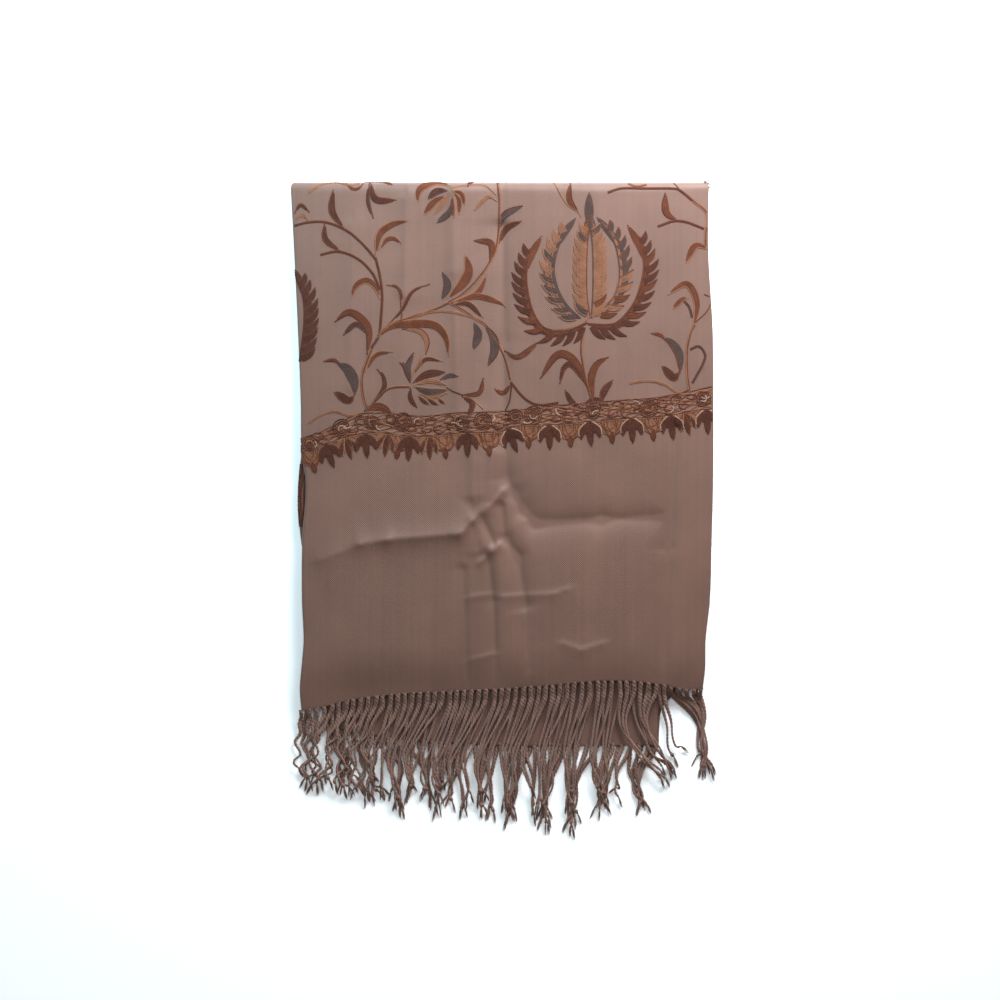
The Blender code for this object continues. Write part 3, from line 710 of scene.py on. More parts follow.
def front_cloth(settings):
    """The front end, from its hem up and over the top fold."""
    material = twill_material("brushed_twill", settings.colour, settings)
    steps = round(FRONT_WIDTH * MM / settings.grid_step)
    below = np.linspace(0, 1, round(FRONT_LONGER * steps) + 1)[1:]
    over = 1 + np.arange(1, TOP_STEPS + 1) / TOP_STEPS
    rows = np.array(hem_rows(-1) + plain_rows(np.concatenate((below, over))))
    columns = pair_columns(steps, steps // UNDER_COARSER)
    piece = cloth_piece("front_cloth", columns, rows, front_line, material)
    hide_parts("front_panel")
    return piece


def hidden_cloth(settings):
    """The hidden layers, down the back, up inside and down again."""
    # Its colour is darkened as painted shade, for where it lies under the front end.
    material = twill_material("shaded_twill_weave", scaled(settings.colour, HIDDEN_PAINTED_SHADE), settings)
    turns = (OVER_TOP, LOW_TURN - 1, UP_FROM + 1, NOSE_TURN - 0.3, DOWN_FROM + 0.3, HIDDEN_END)
    stretches = [np.linspace(*ends)[1:] for ends in zip(turns, turns[1:], HIDDEN_STEPS)]
    lengths = np.concatenate([turns[:1]] + stretches)
    rows = np.array(plain_rows((lengths - OVER_TOP) / (HIDDEN_END - OVER_TOP)))
    columns = pair_columns(HIDDEN_COLUMNS, HIDDEN_COLUMNS)
    piece = cloth_piece("hidden_cloth", columns, rows, hidden_line, material)
    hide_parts("folded_layers")
    return piece


def inner_cloth(settings):
    """The inner end where it comes out below the front end."""
    # Its colour is darkened a little as painted shade, for the shade of the front end and its fringe
    # above it.
    material = twill_material("inner_twill_weave", scaled(settings.colour, INNER_PAINTED_SHADE), settings)
    rows = np.array(hem_rows(1) + plain_rows(np.linspace(0, 1, INNER_ROWS + 1)[1:]))
    columns = pair_columns(INNER_COLUMNS, INNER_UNDER_COLUMNS)
    piece = cloth_piece("inner_cloth", columns, rows, inner_line, material)
    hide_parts("inner_panel")
    return piece


Lamp = namedtuple("Lamp", "name at aim size colour")
LAMPS = (
    Lamp("key", (0.40, 0.82, 0.45), (0, 0, 0), (0.7, 0.4), (0.88, 0.95, 1)),
    Lamp("fill", (-0.3, 0.8, 2.1), (0, 0, 0), (0.9, 0.9), (0.92, 0.97, 1)),
    Lamp("window", (-0.40, 0.58, 0.38), (-0.14, 0.24, 0), (0.35, 0.35), (0.5, 0.86, 1)),
    Lamp("bounce", (-0.5, -1.1, 0.85), (-0.2, -0.35, 0), (1.4, 0.8), (1, 0.96, 0.92)),
)
ROOM_COLOUR = (1, 0.99, 0.98, 1)


def area_light(lamp, power):
    """A soft rectangular light that faces its aim."""
    data = bpy.data.lights.new(lamp.name, "AREA")
    data.shape = "RECTANGLE"
    data.size, data.size_y = lamp.size
    data.energy = power
    data.color = lamp.colour
    light = add_object(lamp.name, data)
    light.location = lamp.at
    light.rotation_euler = (Vector(lamp.aim) - Vector(lamp.at)).to_track_quat("-Z", "Y").to_euler()


def pale_floor(settings):
    """A square floor that is a little uneven in tone."""
    material, graph, shader = new_surface("pale_floor", roughness=0.9)
    where = graph.add("ShaderNodeTexCoord").outputs["Object"]
    mask = graph.noise(where, scale=3.0)
    tone = mixed_colour(graph, mask, 0.2, 0.8, settings.floor_colour, scaled(settings.floor_colour, 1.02))
    graph.tree.links.new(tone, shader.inputs["Base Color"])
    half = settings.floor_size / 2
    mesh = bpy.data.meshes.new("floor")
    corners = [(-half, -half, 0), (half, -half, 0), (half, half, 0), (-half, half, 0)]
    mesh.from_pydata(corners, [], [(0, 1, 2, 3)])
    mesh.materials.append(material)
    add_object("floor", mesh)


def soft_room(strength):
    """Weak light from all round."""
    world = bpy.data.worlds.new("soft_room")
    world.use_nodes = True
    background = world.node_tree.nodes["Background"]
    background.inputs["Color"].default_value = ROOM_COLOUR
    background.inputs["Strength"].default_value = strength
    bpy.context.scene.world = world


def camera_above(height):
    """The camera that looks straight down."""
    camera = add_object("camera", bpy.data.cameras.new("camera"))
    camera.data.lens = camera.data.sensor_width * height / (VIEW_WIDTH * MM)
    camera.location = (*((np.array(VIEW_MIDDLE) + OFFSET[:2]) * MM), height + STACK * MM)
    bpy.context.scene.camera = camera


def stage(settings):
    """The pale floor, the soft lights and the camera."""
    pale_floor(settings)
    for lamp in LAMPS:
        area_light(lamp, getattr(settings, f"{lamp.name}_power"))
    soft_room(settings.room_light)
    bpy.context.scene.view_settings.view_transform = "Standard"
    camera_above(settings.camera_height)


# Embroidery. Each stitch of a row is a rounded loop that closes where the next one begins.
STITCH = 2.1
UNDERSIDE_STITCH = 3.6  # longer stitches below, where the shawl lies on the table
REPEAT = 212.0  # distance along the shawl from one row of lotuses to the next
ROW = 1.15  # distance between rows that fill a shape
STEP, CURVE_STEP = 0.8, 0.7  # distance between the points of a border's line, and of a smooth path
CURVE_POINTS = 12  # points from one point of a table to the next, before they are spaced evenly
LEAST_POINTS = 3  # shorter rows are left out
LEAST_ROOM = 0.35  # of a row: on its inner side a leaf has a row only where it has this much room
THREAD_WIDTH = 1.8
THREAD_HEIGHT = 0.6
UNEVEN_WIDTH, UNEVEN_HEIGHT = 0.12, 0.18  # how much they vary from stitch to stitch
LOOP_PLACE = 0.58  # where along a stitch its loop is widest
LOOP_ACROSS = np.array((-0.5, -0.27, 0.0, 0.27, 0.5))
LOOP_PROFILE = np.array((-0.25, 1.0, 0.42, 1.0, -0.25))
JOINT_WIDTH, JOINT_PROFILE = 0.62, np.array((-0.3, 0.5, 0.55, 0.5, -0.3))
# The pale thread paints glints: it is worked only in small arcs, rosette eyes and pendant outlines.
THREADS = ("brown", "rust", "tan", "grey", "pale")
SELVEDGE_ROOM = 1.2  # rows stop this far from the selvedge
BELOW_FOLD = 297.0  # vines that reach the top fold aren't worked again below it

Stem = namedtuple("Stem", "points threads")
Leaf = namedtuple("Leaf", "points width fill edge")
Feather = namedtuple("Feather", "spine side body length width threads edge tip")
Pendant = namedtuple("Pendant", "x kind")

TWO = ("rust", "tan")
DULL = ("brown", "rust")
STEMS = (
    Stem(((-191, 257), (-178, 260), (-162, 260), (-144, 253), (-129, 241), (-116, 226)), DULL),
    Stem(((-116, 227), (-112, 210), (-110, 192), (-111, 173), (-113, 156), (-120, 144)), DULL),
    Stem(((-120, 144), (-127, 125), (-129, 112), (-127, 97), (-123, 86)), ("tan", "rust")),
    Stem(((-167, 230), (-150, 233), (-132, 226), (-119, 213), (-112, 198)), DULL),
    Stem(((-47, 291), (-33, 294), (-17, 294), (-5, 285)), ("tan",)),
    Stem(((-4, 298), (-2, 276), (-4, 241), (-11, 223), (-24, 205), (-38, 192), (-49, 186)), TWO),
    Stem(((-49, 186), (-62, 180), (-80, 174), (-95, 169), (-106, 164), (-114, 156)), ("tan", "rust")),
    Stem(((-93, 168), (-92, 176), (-93, 184)), ("rust",)),
    Stem(((-49, 186), (-38, 180), (-26, 172), (-14, 164), (-3, 148)), ("tan", "rust")),
    Stem(((-3, 148), (4, 132), (8, 115)), TWO),
    Stem(((8, 113), (21, 98), (34, 92), (52, 94)), DULL),
    Stem(((9, 112), (7, 96), (3, 87)), ("brown",)),
    Stem(((47, 298), (59, 277), (70, 269), (73, 264)), ("tan",)),
    Stem(((97, 287), (110, 291), (132, 291), (156, 291), (164, 289), (175, 280)), DULL),
    Stem(((175, 280), (187, 270), (189, 261), (187, 250), (187, 238)), ("tan", "rust")),
    Stem(((143, 256), (158, 261), (170, 260), (186, 254)), DULL),
    Stem(((177, 166), (173, 158), (170, 143), (170, 122), (172, 106)), ("tan", "rust")),
    Stem(((172, 106), (158, 100), (141, 97), (120, 96)), ("brown",)),
    Stem(((117, 112), (134, 114), (149, 111), (160, 104), (170, 101)), ("tan", "tan")),
    Stem(((75, 160), (73, 143), (76, 122), (81, 101), (85, 93)), TWO),
    Stem(((173, 143), (181, 146), (187, 138), (184, 128), (175, 112)), ("brown", "grey")),
    Stem(((-123, 88), (-111, 102), (-101, 108), (-85, 109)), TWO),
    Stem(((-51, 108), (-44, 104), (-36, 101)), ("brown",)),
    Stem(((-27, 97), (-17, 88)), ("tan",)),
    Stem(((-178, 75), (-166, 83), (-153, 86), (-140, 82), (-131, 84)), ("tan", "tan")),
    Stem(((178, 168), (189, 179), (192, 190), (186, 194)), ("rust",)),
    Stem(((116, 296), (124, 293), (133, 295)), ("rust", "tan")),
    Stem(((158, 297), (163, 290)), ("rust",)),
    Stem(((166, 189), (172, 182), (175, 172)), ("grey", "brown")),
    Stem(((-22, 171), (-40, 176), (-56, 178), (-71, 176), (-86, 169)), ("tan", "tan")),
    Stem(((44, 160), (60, 161), (72, 166), (81, 173), (92, 182), (103, 193), (107, 208)), ("tan",)),
)
LEAVES = (
    Leaf(((-191, 268), (-185, 276), (-177, 269)), 3.4, "brown", "rust"),
    Leaf(((-190, 262), (-184, 267), (-178, 262)), 3.4, "tan", "tan"),
    Leaf(((-145, 254), (-156, 270), (-155, 290)), 6.5, "brown", "rust"),
    Leaf(((-148, 233), (-162, 244), (-163, 259)), 5.6, "brown", "rust"),
    Leaf(((-116, 229), (-113, 248), (-101, 258), (-86, 261)), 6.8, "rust", "tan"),
    Leaf(((-113, 234), (-106, 244), (-99, 245), (-92, 240)), 4.8, "rust", "tan"),
    Leaf(((-112, 189), (-117, 201), (-125, 206), (-134, 201), (-138, 190)), 6.0, "rust", "tan"),
    Leaf(((-93, 182), (-93, 195), (-98, 201), (-106, 202)), 2.9, "rust", "rust"),
    Leaf(((-106, 164), (-92, 179), (-82, 196), (-66, 203)), 3.2, "brown", "rust"),
    Leaf(((-124, 138), (-122, 158), (-128, 170), (-141, 177), (-154, 168)), 7.6, "rust", "brown"),
    Leaf(((-125, 158), (-134, 166), (-146, 156)), 5.0, "brown", "grey"),
    Leaf(((-126, 122), (-116, 138), (-100, 141)), 4.4, "rust", "tan"),
    Leaf(((-127, 297), (-132, 291), (-138, 291), (-144, 297)), 2.9, "rust", "rust"),
    Leaf(((-122, 297), (-123, 279), (-118, 263)), 3.6, "brown", "grey"),
    Leaf(((-121, 297), (-116, 281), (-97, 280)), 6.5, "brown", "rust"),
    Leaf(((-47, 293), (-61, 297), (-75, 290), (-77, 278)), 7.6, "rust", "tan"),
    Leaf(((-50, 289), (-60, 288), (-68, 281)), 6.6, "brown", "grey"),
    Leaf(((-51, 284), (-62, 278), (-72, 266)), 6.4, "rust", "tan"),
    Leaf(((-48, 286), (-55, 276), (-62, 267)), 4.6, "tan", "tan"),
    Leaf(((-47, 276), (-49, 268), (-60, 259)), 6.2, "grey", "grey"),
    Leaf(((-45, 285), (-45, 275), (-44, 263)), 4.4, "rust", "tan"),
    Leaf(((-45, 288), (-39, 280), (-39, 266)), 4.6, "rust", "tan"),
    Leaf(((-46, 289), (-37, 286), (-34, 275)), 4.6, "rust", "tan"),
    Leaf(((-50, 190), (-37, 203), (-31, 215), (-34, 230)), 9.5, "rust", "tan"),
    Leaf(((-55, 214), (-50, 202), (-55, 189)), 7.2, "grey", "grey"),
    Leaf(((-45, 187), (-24, 194), (-14, 212)), 5.8, "rust", "tan"),
    Leaf(((-46, 186), (-24, 192), (-4, 187), (4, 182)), 6.2, "rust", "tan"),
    Leaf(((-47, 184), (-31, 185), (-17, 172)), 5.6, "brown", "tan"),
    Leaf(((-11, 223), (-10, 240), (-26, 243)), 6.4, "rust", "brown"),
    Leaf(((-4, 279), (-13, 283), (-26, 270)), 3.8, "tan", "tan"),
    Leaf(((-3, 252), (2, 266), (19, 275)), 6.6, "grey", "brown"),
    Leaf(((-3, 240), (4, 254), (18, 261)), 6.0, "brown", "rust"),
    Leaf(((63, 297), (62, 281), (70, 269)), 5.6, "rust", "brown"),
    Leaf(((162, 261), (151, 269), (150, 287)), 6.8, "rust", "brown"),
    Leaf(((190, 235), (178, 238), (169, 222)), 6.2, "rust", "tan"),
    Leaf(((175, 162), (179, 185), (170, 203), (152, 193)), 6.6, "rust", "tan"),
    Leaf(((172, 190), (166, 189), (157, 180)), 4.8, "rust", "tan"),
    Leaf(((2, 142), (15, 136), (34, 150)), 5.4, "rust", "brown"),
    Leaf(((9, 112), (1, 103), (-7, 107)), 4.4, "rust", "rust"),
    Leaf(((81, 104), (67, 132), (51, 138), (35, 116)), 7.4, "rust", "brown"),
    Leaf(((80, 108), (65, 128), (57, 126), (53, 111)), 5.2, "brown", "rust"),
    Leaf(((84, 94), (82, 115), (87, 129), (98, 136)), 7.0, "rust", "brown"),
    Leaf(((90, 92), (94, 105), (102, 115)), 6.6, "brown", "rust"),
    Leaf(((74, 88), (64, 95), (58, 106)), 5.2, "brown", "brown"),
    Leaf(((164, 121), (163, 138), (156, 149), (148, 154)), 8.2, "grey", "rust"),
    Leaf(((151, 151), (146, 156), (137, 158)), 3.4, "rust", "rust"),
    Leaf(((163, 123), (158, 117), (147, 128)), 7.6, "brown", "rust"),
    Leaf(((-26, 168), (-22, 157), (-26, 143)), 8.0, "grey", "grey"),
    Leaf(((-16, 166), (-8, 154), (-7, 141), (-13, 128)), 8.4, "grey", "brown"),
    Leaf(((-135, 101), (-136, 114), (-142, 125), (-151, 130)), 10.0, "grey", "grey"),
    Leaf(((-146, 127), (-154, 133), (-164, 132)), 3.6, "rust", "brown"),
    Leaf(((-127, 86), (-118, 90), (-109, 89), (-101, 82)), 7.4, "rust", "brown"),
    Leaf(((74, 92), (86, 96), (97, 91)), 6.4, "brown", "brown"),
    Leaf(((80.5, 252), (80, 270), (80.3, 287)), 8.4, "grey", "grey"),
    Leaf(((-136, 101), (-141, 96), (-154, 104)), 7.6, "brown", "rust"),
    Leaf(((-116, 153), (-101, 164), (-80, 167), (-61, 165), (-51, 153), (-49, 136)), 8.0, "rust", "tan"),
    Leaf(((-92, 162), (-76, 160), (-69, 151), (-70, 138)), 5.6, "tan", "rust"),
    Leaf(((-122, 90), (-109, 106), (-109, 118), (-115, 125)), 4.4, "brown", "brown"),
    Leaf(((-84, 112), (-88, 126), (-94, 131)), 6.0, "grey", "brown"),
    Leaf(((-84, 116), (-86, 128), (-81, 140)), 5.0, "grey", "brown"),
    Leaf(((-82, 121), (-76, 129), (-74, 137)), 3.4, "tan", "tan"),
    Leaf(((-83, 118), (-71, 134), (-54, 132)), 4.4, "brown", "tan"),
    Leaf(((-82, 112), (-69, 120), (-52, 122)), 7.0, "brown", "brown"),
    Leaf(((-57, 115), (-48, 119), (-40, 118)), 4.2, "grey", "grey"),
    Leaf(((-81, 110), (-66, 114), (-51, 110)), 4.6, "tan", "tan"),
    Leaf(((-81, 109), (-66, 104), (-50, 106)), 7.4, "grey", "tan"),
    Leaf(((-76, 102), (-65, 99), (-50, 103)), 3.6, "tan", "tan"),
    Leaf(((-84, 108), (-84, 98), (-78, 89)), 4.6, "brown", "brown"),
    Leaf(((-77, 101), (-72, 96), (-66, 92)), 4.2, "brown", "tan"),
    Leaf(((-69, 99), (-64, 95), (-58, 92)), 4.0, "brown", "tan"),
    Leaf(((-59, 99), (-56, 96), (-52, 93)), 3.4, "brown", "tan"),
    Leaf(((-37, 101), (-21, 103), (-17, 117)), 4.6, "rust", "brown"),
    Leaf(((-37, 100), (-27, 93), (-32, 80)), 5.6, "brown", "rust"),
)
FEATHERS = (
    Feather(
        ((-187, 131), (-184, 150), (-182, 170), (-183, 190), (-190, 214)),
        -1, 9.0, 17.0, 7.0, ("brown",) * 9, "grey", "brown",
    ),
    Feather(
        (
            (79, 168), (62, 162), (46, 161), (36, 166), (28, 180), (23.5, 200), (23, 216), (27, 233),
            (35, 245),
        ),
        1, 6.8, 17.5, 6.2, ("brown",) * 4 + ("rust", "rust") + ("brown",) * 7, "brown", "rust",
    ),
    Feather(
        ((77, 167), (97, 166), (108, 170), (121, 186), (128, 206), (130, 222), (126, 242), (117, 255)),
        -1, 6.8, 17.5, 6.2, ("brown",) * 4 + ("rust", "brown", "brown") * 3, "brown", "rust",
    ),
    Feather(
        ((73, 171), (60, 184), (52, 198), (48, 216), (51, 234), (57, 248), (66, 261)),
        1, 9.6, 16.5, 6.6, ("grey",) * 5 + ("tan", "grey", "tan", "tan", "tan"), "tan", "grey",
    ),
    Feather(
        ((86, 173), (101, 189), (107, 204), (107.5, 222), (102, 244), (89, 262)),
        -1, 8.4, 15.5, 6.4, ("rust", "tan", "rust", "tan", "tan") + ("grey",) * 5, "rust", "grey",
    ),
    Feather(
        ((81, 171), (78, 196), (78, 228), (80, 264)),
        1, 10.0, 16.5, 6.4, ("grey",) + ("tan",) * 7 + ("grey", "tan"), "tan", "rust",
    ),
    Feather(
        ((82, 171), (83.5, 196), (83.5, 228), (81.5, 264)),
        -1, 10.0, 16.5, 6.4, ("tan", "rust") + ("tan",) * 7 + ("grey",), "tan", "grey",
    ),
)
LEAF_PEAK, FEATHER_PEAK = 1.1, 0.8  # above 1, a shape is widest past the middle of its length
BLUNTNESS = 0.75  # below 1, its ends are rounder than a sine's
LEAFLET_BASE = 0.46  # leaflets start this far along a leaf's outline, where it is widest
LEAFLETS_FROM, LEAFLETS_TO = 0.05, 0.86
LEAFLETS_SHORTER, SHORTER_FROM, SHORTER_TO = 0.35, 0.6, 0.9  # towards a feather's tip
# Where a leaflet starts, bends and ends, in shares of its length out from the spine and along it.
LEAFLET_ROOT, LEAFLET_BEND, LEAFLET_TIP = 0.12, (0.40, 0.30), (0.64, 0.74)
TIP_FROM, TIP_WIDTH, TIP_BEND, TIP_PAST = 0.74, 6.4, 1.6, 3.0  # the leaf that ends a feather
OVER, OVER_MORE = 0.18, 0.36  # how far shapes worked over others stand above them
UPPER_RAIL = (
    Point(-196, 58), Point(-184, 62), Point(-166, 68), Point(-150, 76), Point(-132, 84), Point(-101, 85),
    Point(-75, 82), Point(-43, 85), Point(7, 87), Point(52, 92), Point(113, 97), Point(141, 99),
    Point(167, 104), Point(196, 110),
)
LOWER_RAIL = (
    Point(-196, 44), Point(-184, 48), Point(-166, 54), Point(-140, 63), Point(-114, 66), Point(-88, 63),
    Point(-63, 63), Point(-37, 66), Point(-2, 67), Point(17, 73), Point(44, 73), Point(99, 78),
    Point(155, 82), Point(175, 86), Point(196, 88),
)
ROSETTES = (
    Point(-177, 56), Point(-147, 70), Point(-119, 76), Point(-91, 77), Point(-37, 75), Point(-18, 77),
    Point(12, 81), Point(29, 82), Point(84, 86), Point(135, 89), Point(185, 98),
)
PENDANTS = (
    Pendant(-178, "tan"), Pendant(-162, "dark"), Pendant(-144, "split"), Pendant(-126, "dark"),
    Pendant(-105, "split"), Pendant(-94, "tan"), Pendant(-85, "dark"), Pendant(-67, "split"),
    Pendant(-54, "tan"), Pendant(-32, "dark"), Pendant(-12, "tan"), Pendant(6, "dark"),
    Pendant(24.5, "tan"), Pendant(43.3, "dark"), Pendant(61.5, "tan"), Pendant(80, "dark"),
    Pendant(100, "tan"), Pendant(119, "dark"), Pendant(138, "tan"), Pendant(155, "dark"),
    Pendant(168, "split"), Pendant(188, "dark"),
)
PENDANT_DROP = 19.0
PENDANT_ORDER = ("tan", "split", "dark")  # the dark ones are worked last, over the others
# A petal of a pendant: where it starts and ends beside the middle, how far down it reaches as a
# share of the drop, and how far it bends outwards.
Petal = namedtuple("Petal", "start out drop width fill edge bend")
DARK_MIDDLE = Petal(0, 0, 1.18, 6.0, "brown", "brown", 0)
DARK_GROUND = Petal(8.4, 8.6, 0.66, 6.4, "tan", "rust", 1.2)
DARK_SIDES = (
    Petal(0.8, 8.8, 0.80, 5.6, "brown", "brown", 2.2),
    Petal(0.5, 4.2, 0.56, 4.2, "brown", "brown", 0.8),
)
# The pale outline beside the dark pendants on the right paints glints.
DARK_OUTLINE = Petal(3.0, 10.4, 0.66, 1.2, "pale", "pale", 3.0)
SPLIT_MIDDLE = Petal(0, 0, 1.1, 5.0, "brown", "rust", 0)
SPLIT_SIDES = (
    Petal(1.0, 7.0, 0.84, 5.2, "brown", "tan", 1.6),
    Petal(1.5, 9.8, 0.5, 5.0, "tan", "rust", 1.6),
    Petal(3.4, 4.0, 0.7, 1.6, "tan", "tan", 0),
)
TAN_PETALS = (
    Petal(0, 0, 0.9, 9.0, "tan", "rust", 0),
    Petal(-6.6, 0, 0.74, 8.4, "tan", "tan", -2.4),
    Petal(6.6, 0, 0.74, 8.4, "tan", "rust", 2.4),
)
# Three loops one inside another on a tan pendant, with a point below them.
LOOPS, LOOP_REACH, LOOP_NARROWER, LOOP_DROP, LOOP_SHORTER = 3, 8.6, 2.2, 0.78, 0.16
LOOP_UNEVEN = 0.10
POINT_FROM, POINT_BEND, POINT_TO, POINT_WIDTH = 0.56, 6.0, 1.14, 5.0

BORDER_FROM, BORDER_TO = -194.0, 196.0
GROUND_THREADS = ("tan", "tan", "rust", "tan", "tan", "rust", "tan", "tan", "rust", "tan", "tan")
Wave = namedtuple("Wave", "height length shift")
GROUND_WAVES = (Wave(1.1, 2.9, 2.2), Wave(0.8, 7.3, 1.0))
CURLS_FROM, CURLS_TO = -190.0, 194.0
CURL_STEP, CURL_STEP_CHANGE, CURL_STEP_TURN = 6.6, 1.6, 1.7
CURL_PLACES = (0.34, 0.68)  # low and high in the border, by turns
CURL_REACHES = (("brown", 5.4), ("rust", 3.4))
ROSETTE_ROOM = 8.0  # no curl this near a rosette
# Pale arcs among the curls paint glints on the border.
PALE_EVERY, PALE_ARC_WIDTH, PALE_ARC_HEIGHT, PALE_ARC_FROM, PALE_ARC_TO = 5, 4.8, 3.6, 3.4, 5.2
ROSETTE_SIZES = (7.4, 9.0)  # by turns
HEART_SIZE, HEART_TURNS, HEART_SHIFT = 4.0, 1.6, 2.4
EYE_WIDTH, EYE_HEIGHT, EYE_TURN, EYE_SHIFT = 3.4, 2.8, 3.4, 0.4
SPIRAL_CLOSES = 0.85  # how much nearer its middle a spiral ends
SPIRAL_POINTS = 4  # for each turn and each millimetre of its radius
SLOPE_ROOM = 4.0  # the rail's slope is taken from this far on both sides of a pendant

INNER_BORDER = (38.0, -20.0)  # the y of the inner end's border, along the soft fold
INNER_THREADS = ("brown", "rust", "brown", "brown", "tan", "brown", "rust", "brown")
INNER_SHIFT, INNER_POINTS, INNER_WAVE = 2.0, 60, Wave(0.5, 5.0, 2.0)
BAKE_ROOM = 2.0  # round the rows, in their baked picture
upper_rail = curve_through(UPPER_RAIL, "x", "y")
lower_rail = curve_through(LOWER_RAIL, "x", "y")


def even_path(path, spacing):
    """The same line with its points evenly spaced, about that far apart."""
    run = np.concatenate(([0], np.cumsum(np.linalg.norm(np.diff(path, axis=0), axis=1))))
    at = np.linspace(0, run[-1], max(2, round(run[-1] / spacing)) + 1)
    return np.stack([np.interp(at, run, path[:, axis]) for axis in range(path.shape[1])], 1)


def smooth_path(points, spacing=CURVE_STEP):
    """A smooth line through a few points."""
    points = np.array(points, float)
    padded = np.vstack((2 * points[0] - points[1], points, 2 * points[-1] - points[-2]))
    t = np.linspace(0, 1, CURVE_POINTS, endpoint=False)[:, None]
    stretches = []
    for a, b, c, d in zip(padded, padded[1:], padded[2:], padded[3:]):
        bend = (2 * a - 5 * b + 4 * c - d) * t**2 + (3 * b - a - 3 * c + d) * t**3
        stretches.append(b + 0.5 * ((c - a) * t + bend))
    return even_path(np.vstack(stretches + [points[-1:]]), spacing)


def beside(path, offset):
    """The line that runs beside a path, to its left by offset."""
    way = np.gradient(path, axis=0)
    way /= np.maximum(np.linalg.norm(way, axis=1), 1e-9)[:, None]
    return path + np.stack((-way[:, 1], way[:, 0]), 1) * np.reshape(offset, (-1, 1))


def stem_rows(stem):
    """Rows side by side along a stem, one for each of its threads."""
    path = smooth_path(stem.points)
    middle = (len(stem.threads) - 1) / 2
    return [(thread, beside(path, (k - middle) * ROW)) for k, thread in enumerate(stem.threads)]


def leaf_rows(leaf, start=0.0):
    """Rows that follow a leaf's outline inwards, from its stalk, or from a share of the way up
    its outline, to its point."""
    path = smooth_path(leaf.points)
    t = start + (1 - start) * np.linspace(0, 1, len(path))
    half = leaf.width / 2 * np.sin(math.pi * t**LEAF_PEAK) ** BLUNTNESS
    rows = []
    inside = np.flatnonzero(half > ROW)
    if len(inside) >= LEAST_POINTS:
        rows.append((leaf.fill, path[inside]))
    for rank in range(math.ceil(leaf.width / 2 / ROW)):
        offset = half - (rank + 0.5) * ROW
        for side, least in ((1, 0.0), (-1, LEAST_ROOM * ROW)):
            outline = rank == 0 and side > 0
            inside = np.arange(len(path)) if outline else np.flatnonzero(offset > least)
            if len(inside) < LEAST_POINTS:
                continue
            row = beside(path, side * np.maximum(offset, 0))[inside[0] : inside[-1] + 1]
            rows.append((leaf.edge if outline else leaf.fill, row))
    return rows


def raised(rows, lift):
    """The same rows worked over others: each path gets its height as a third column."""
    return [(thread, np.column_stack((path[:, :2], np.full(len(path), lift)))) for thread, path in rows]


def feather_body(feather, spine):
    """Rows side by side that fill a feather, from its spine outwards."""
    t = np.linspace(0, 1, len(spine))
    body = feather.body * np.sin(math.pi * t**FEATHER_PEAK) ** BLUNTNESS
    rows = []
    for rank in range(math.ceil(feather.body / ROW)):
        inside = np.flatnonzero(body > rank * ROW)
        middle = feather.threads[(rank + 2) % len(feather.threads)]
        row = beside(spine, feather.side * rank * ROW)[inside[0] : inside[-1] + 1]
        rows.append((feather.tip if rank == 0 else middle, row))
    return rows


def feather_rows(feather):
    """A curved leaf with leaflets along its outer side, all leaning to its tip."""
    spine = smooth_path(feather.spine)
    rows = feather_body(feather, spine)
    way = np.gradient(spine, axis=0)
    way /= np.linalg.norm(way, axis=1)[:, None]
    last = len(spine) - 1
    count = len(feather.threads)
    for index, thread in enumerate(feather.threads):
        share = LEAFLETS_FROM + (LEAFLETS_TO - LEAFLETS_FROM) * index / (count - 1)
        along = way[round(share * last)]
        out = feather.side * np.array((-along[1], along[0]))
        reach = feather.length * (1 - LEAFLETS_SHORTER * smooth_step(SHORTER_FROM, SHORTER_TO, share))
        base = spine[round(share * last)] + out * LEAFLET_ROOT * reach
        bend, tip = (base + (out * o + along * a) * reach for o, a in (LEAFLET_BEND, LEAFLET_TIP))
        leaflet = leaf_rows(Leaf((base, bend, tip), feather.width, thread, feather.edge), LEAFLET_BASE)
        rows += raised(leaflet, OVER)
    end = spine[round(TIP_FROM * last)]
    bend = 0.5 * (end + spine[-1]) + out * TIP_BEND
    tip = spine[-1] + way[-1] * TIP_PAST
    return rows + leaf_rows(Leaf((end, bend, tip), TIP_WIDTH, feather.tip, feather.tip))


def spiral(x, y, radius, turns, start):
    """A line that winds inwards from radius, by that many turns."""
    t = np.linspace(0, 1, max(8, round(turns * radius * SPIRAL_POINTS)))
    angle = start + 2 * math.pi * turns * t
    reach = radius * (1 - SPIRAL_CLOSES * t)
    return even_path(np.stack((x + reach * np.cos(angle), y + reach * np.sin(angle)), 1), STEP)


def arc(x, y, width, height, start, end, count):
    """Part of an oval round (x, y), with its half width and half height."""
    turn = np.linspace(start, end, count)
    return even_path(np.stack((x + width * np.cos(turn), y + height * np.sin(turn)), 1), STEP)


def rosette_rows(spot, index):
    """A small dark flower worked round and round, with an eye that paints a glint: an arc of tan thread,
    pale on every third flower.
    """
    size = ROSETTE_SIZES[index % 2]
    rows = [("brown", spiral(spot.x, spot.y, size, size / (2 * ROW), index))]
    heart = spiral(spot.x, spot.y, HEART_SIZE, HEART_TURNS, index + HEART_SHIFT)
    rows.append(("rust" if index % 2 else "brown", heart))
    # The eye is a painted glint.
    start = EYE_SHIFT * index
    eye = arc(spot.x, spot.y, EYE_WIDTH, EYE_HEIGHT, start, start + EYE_TURN, 10)
    return raised(rows, OVER) + raised([("pale" if index % 3 == 1 else "tan", eye)], OVER_MORE)


def petal_rows(petal, base, aside, down, side=1):
    """One petal of a pendant, from its base on the lower rail, on one side or the other."""
    root = base + aside * side * petal.start
    tip = base + aside * side * petal.out + down * petal.drop * PENDANT_DROP
    middle = 0.5 * (root + tip) + aside * side * petal.bend
    return leaf_rows(Leaf((root, middle, tip), petal.width, petal.fill, petal.edge))


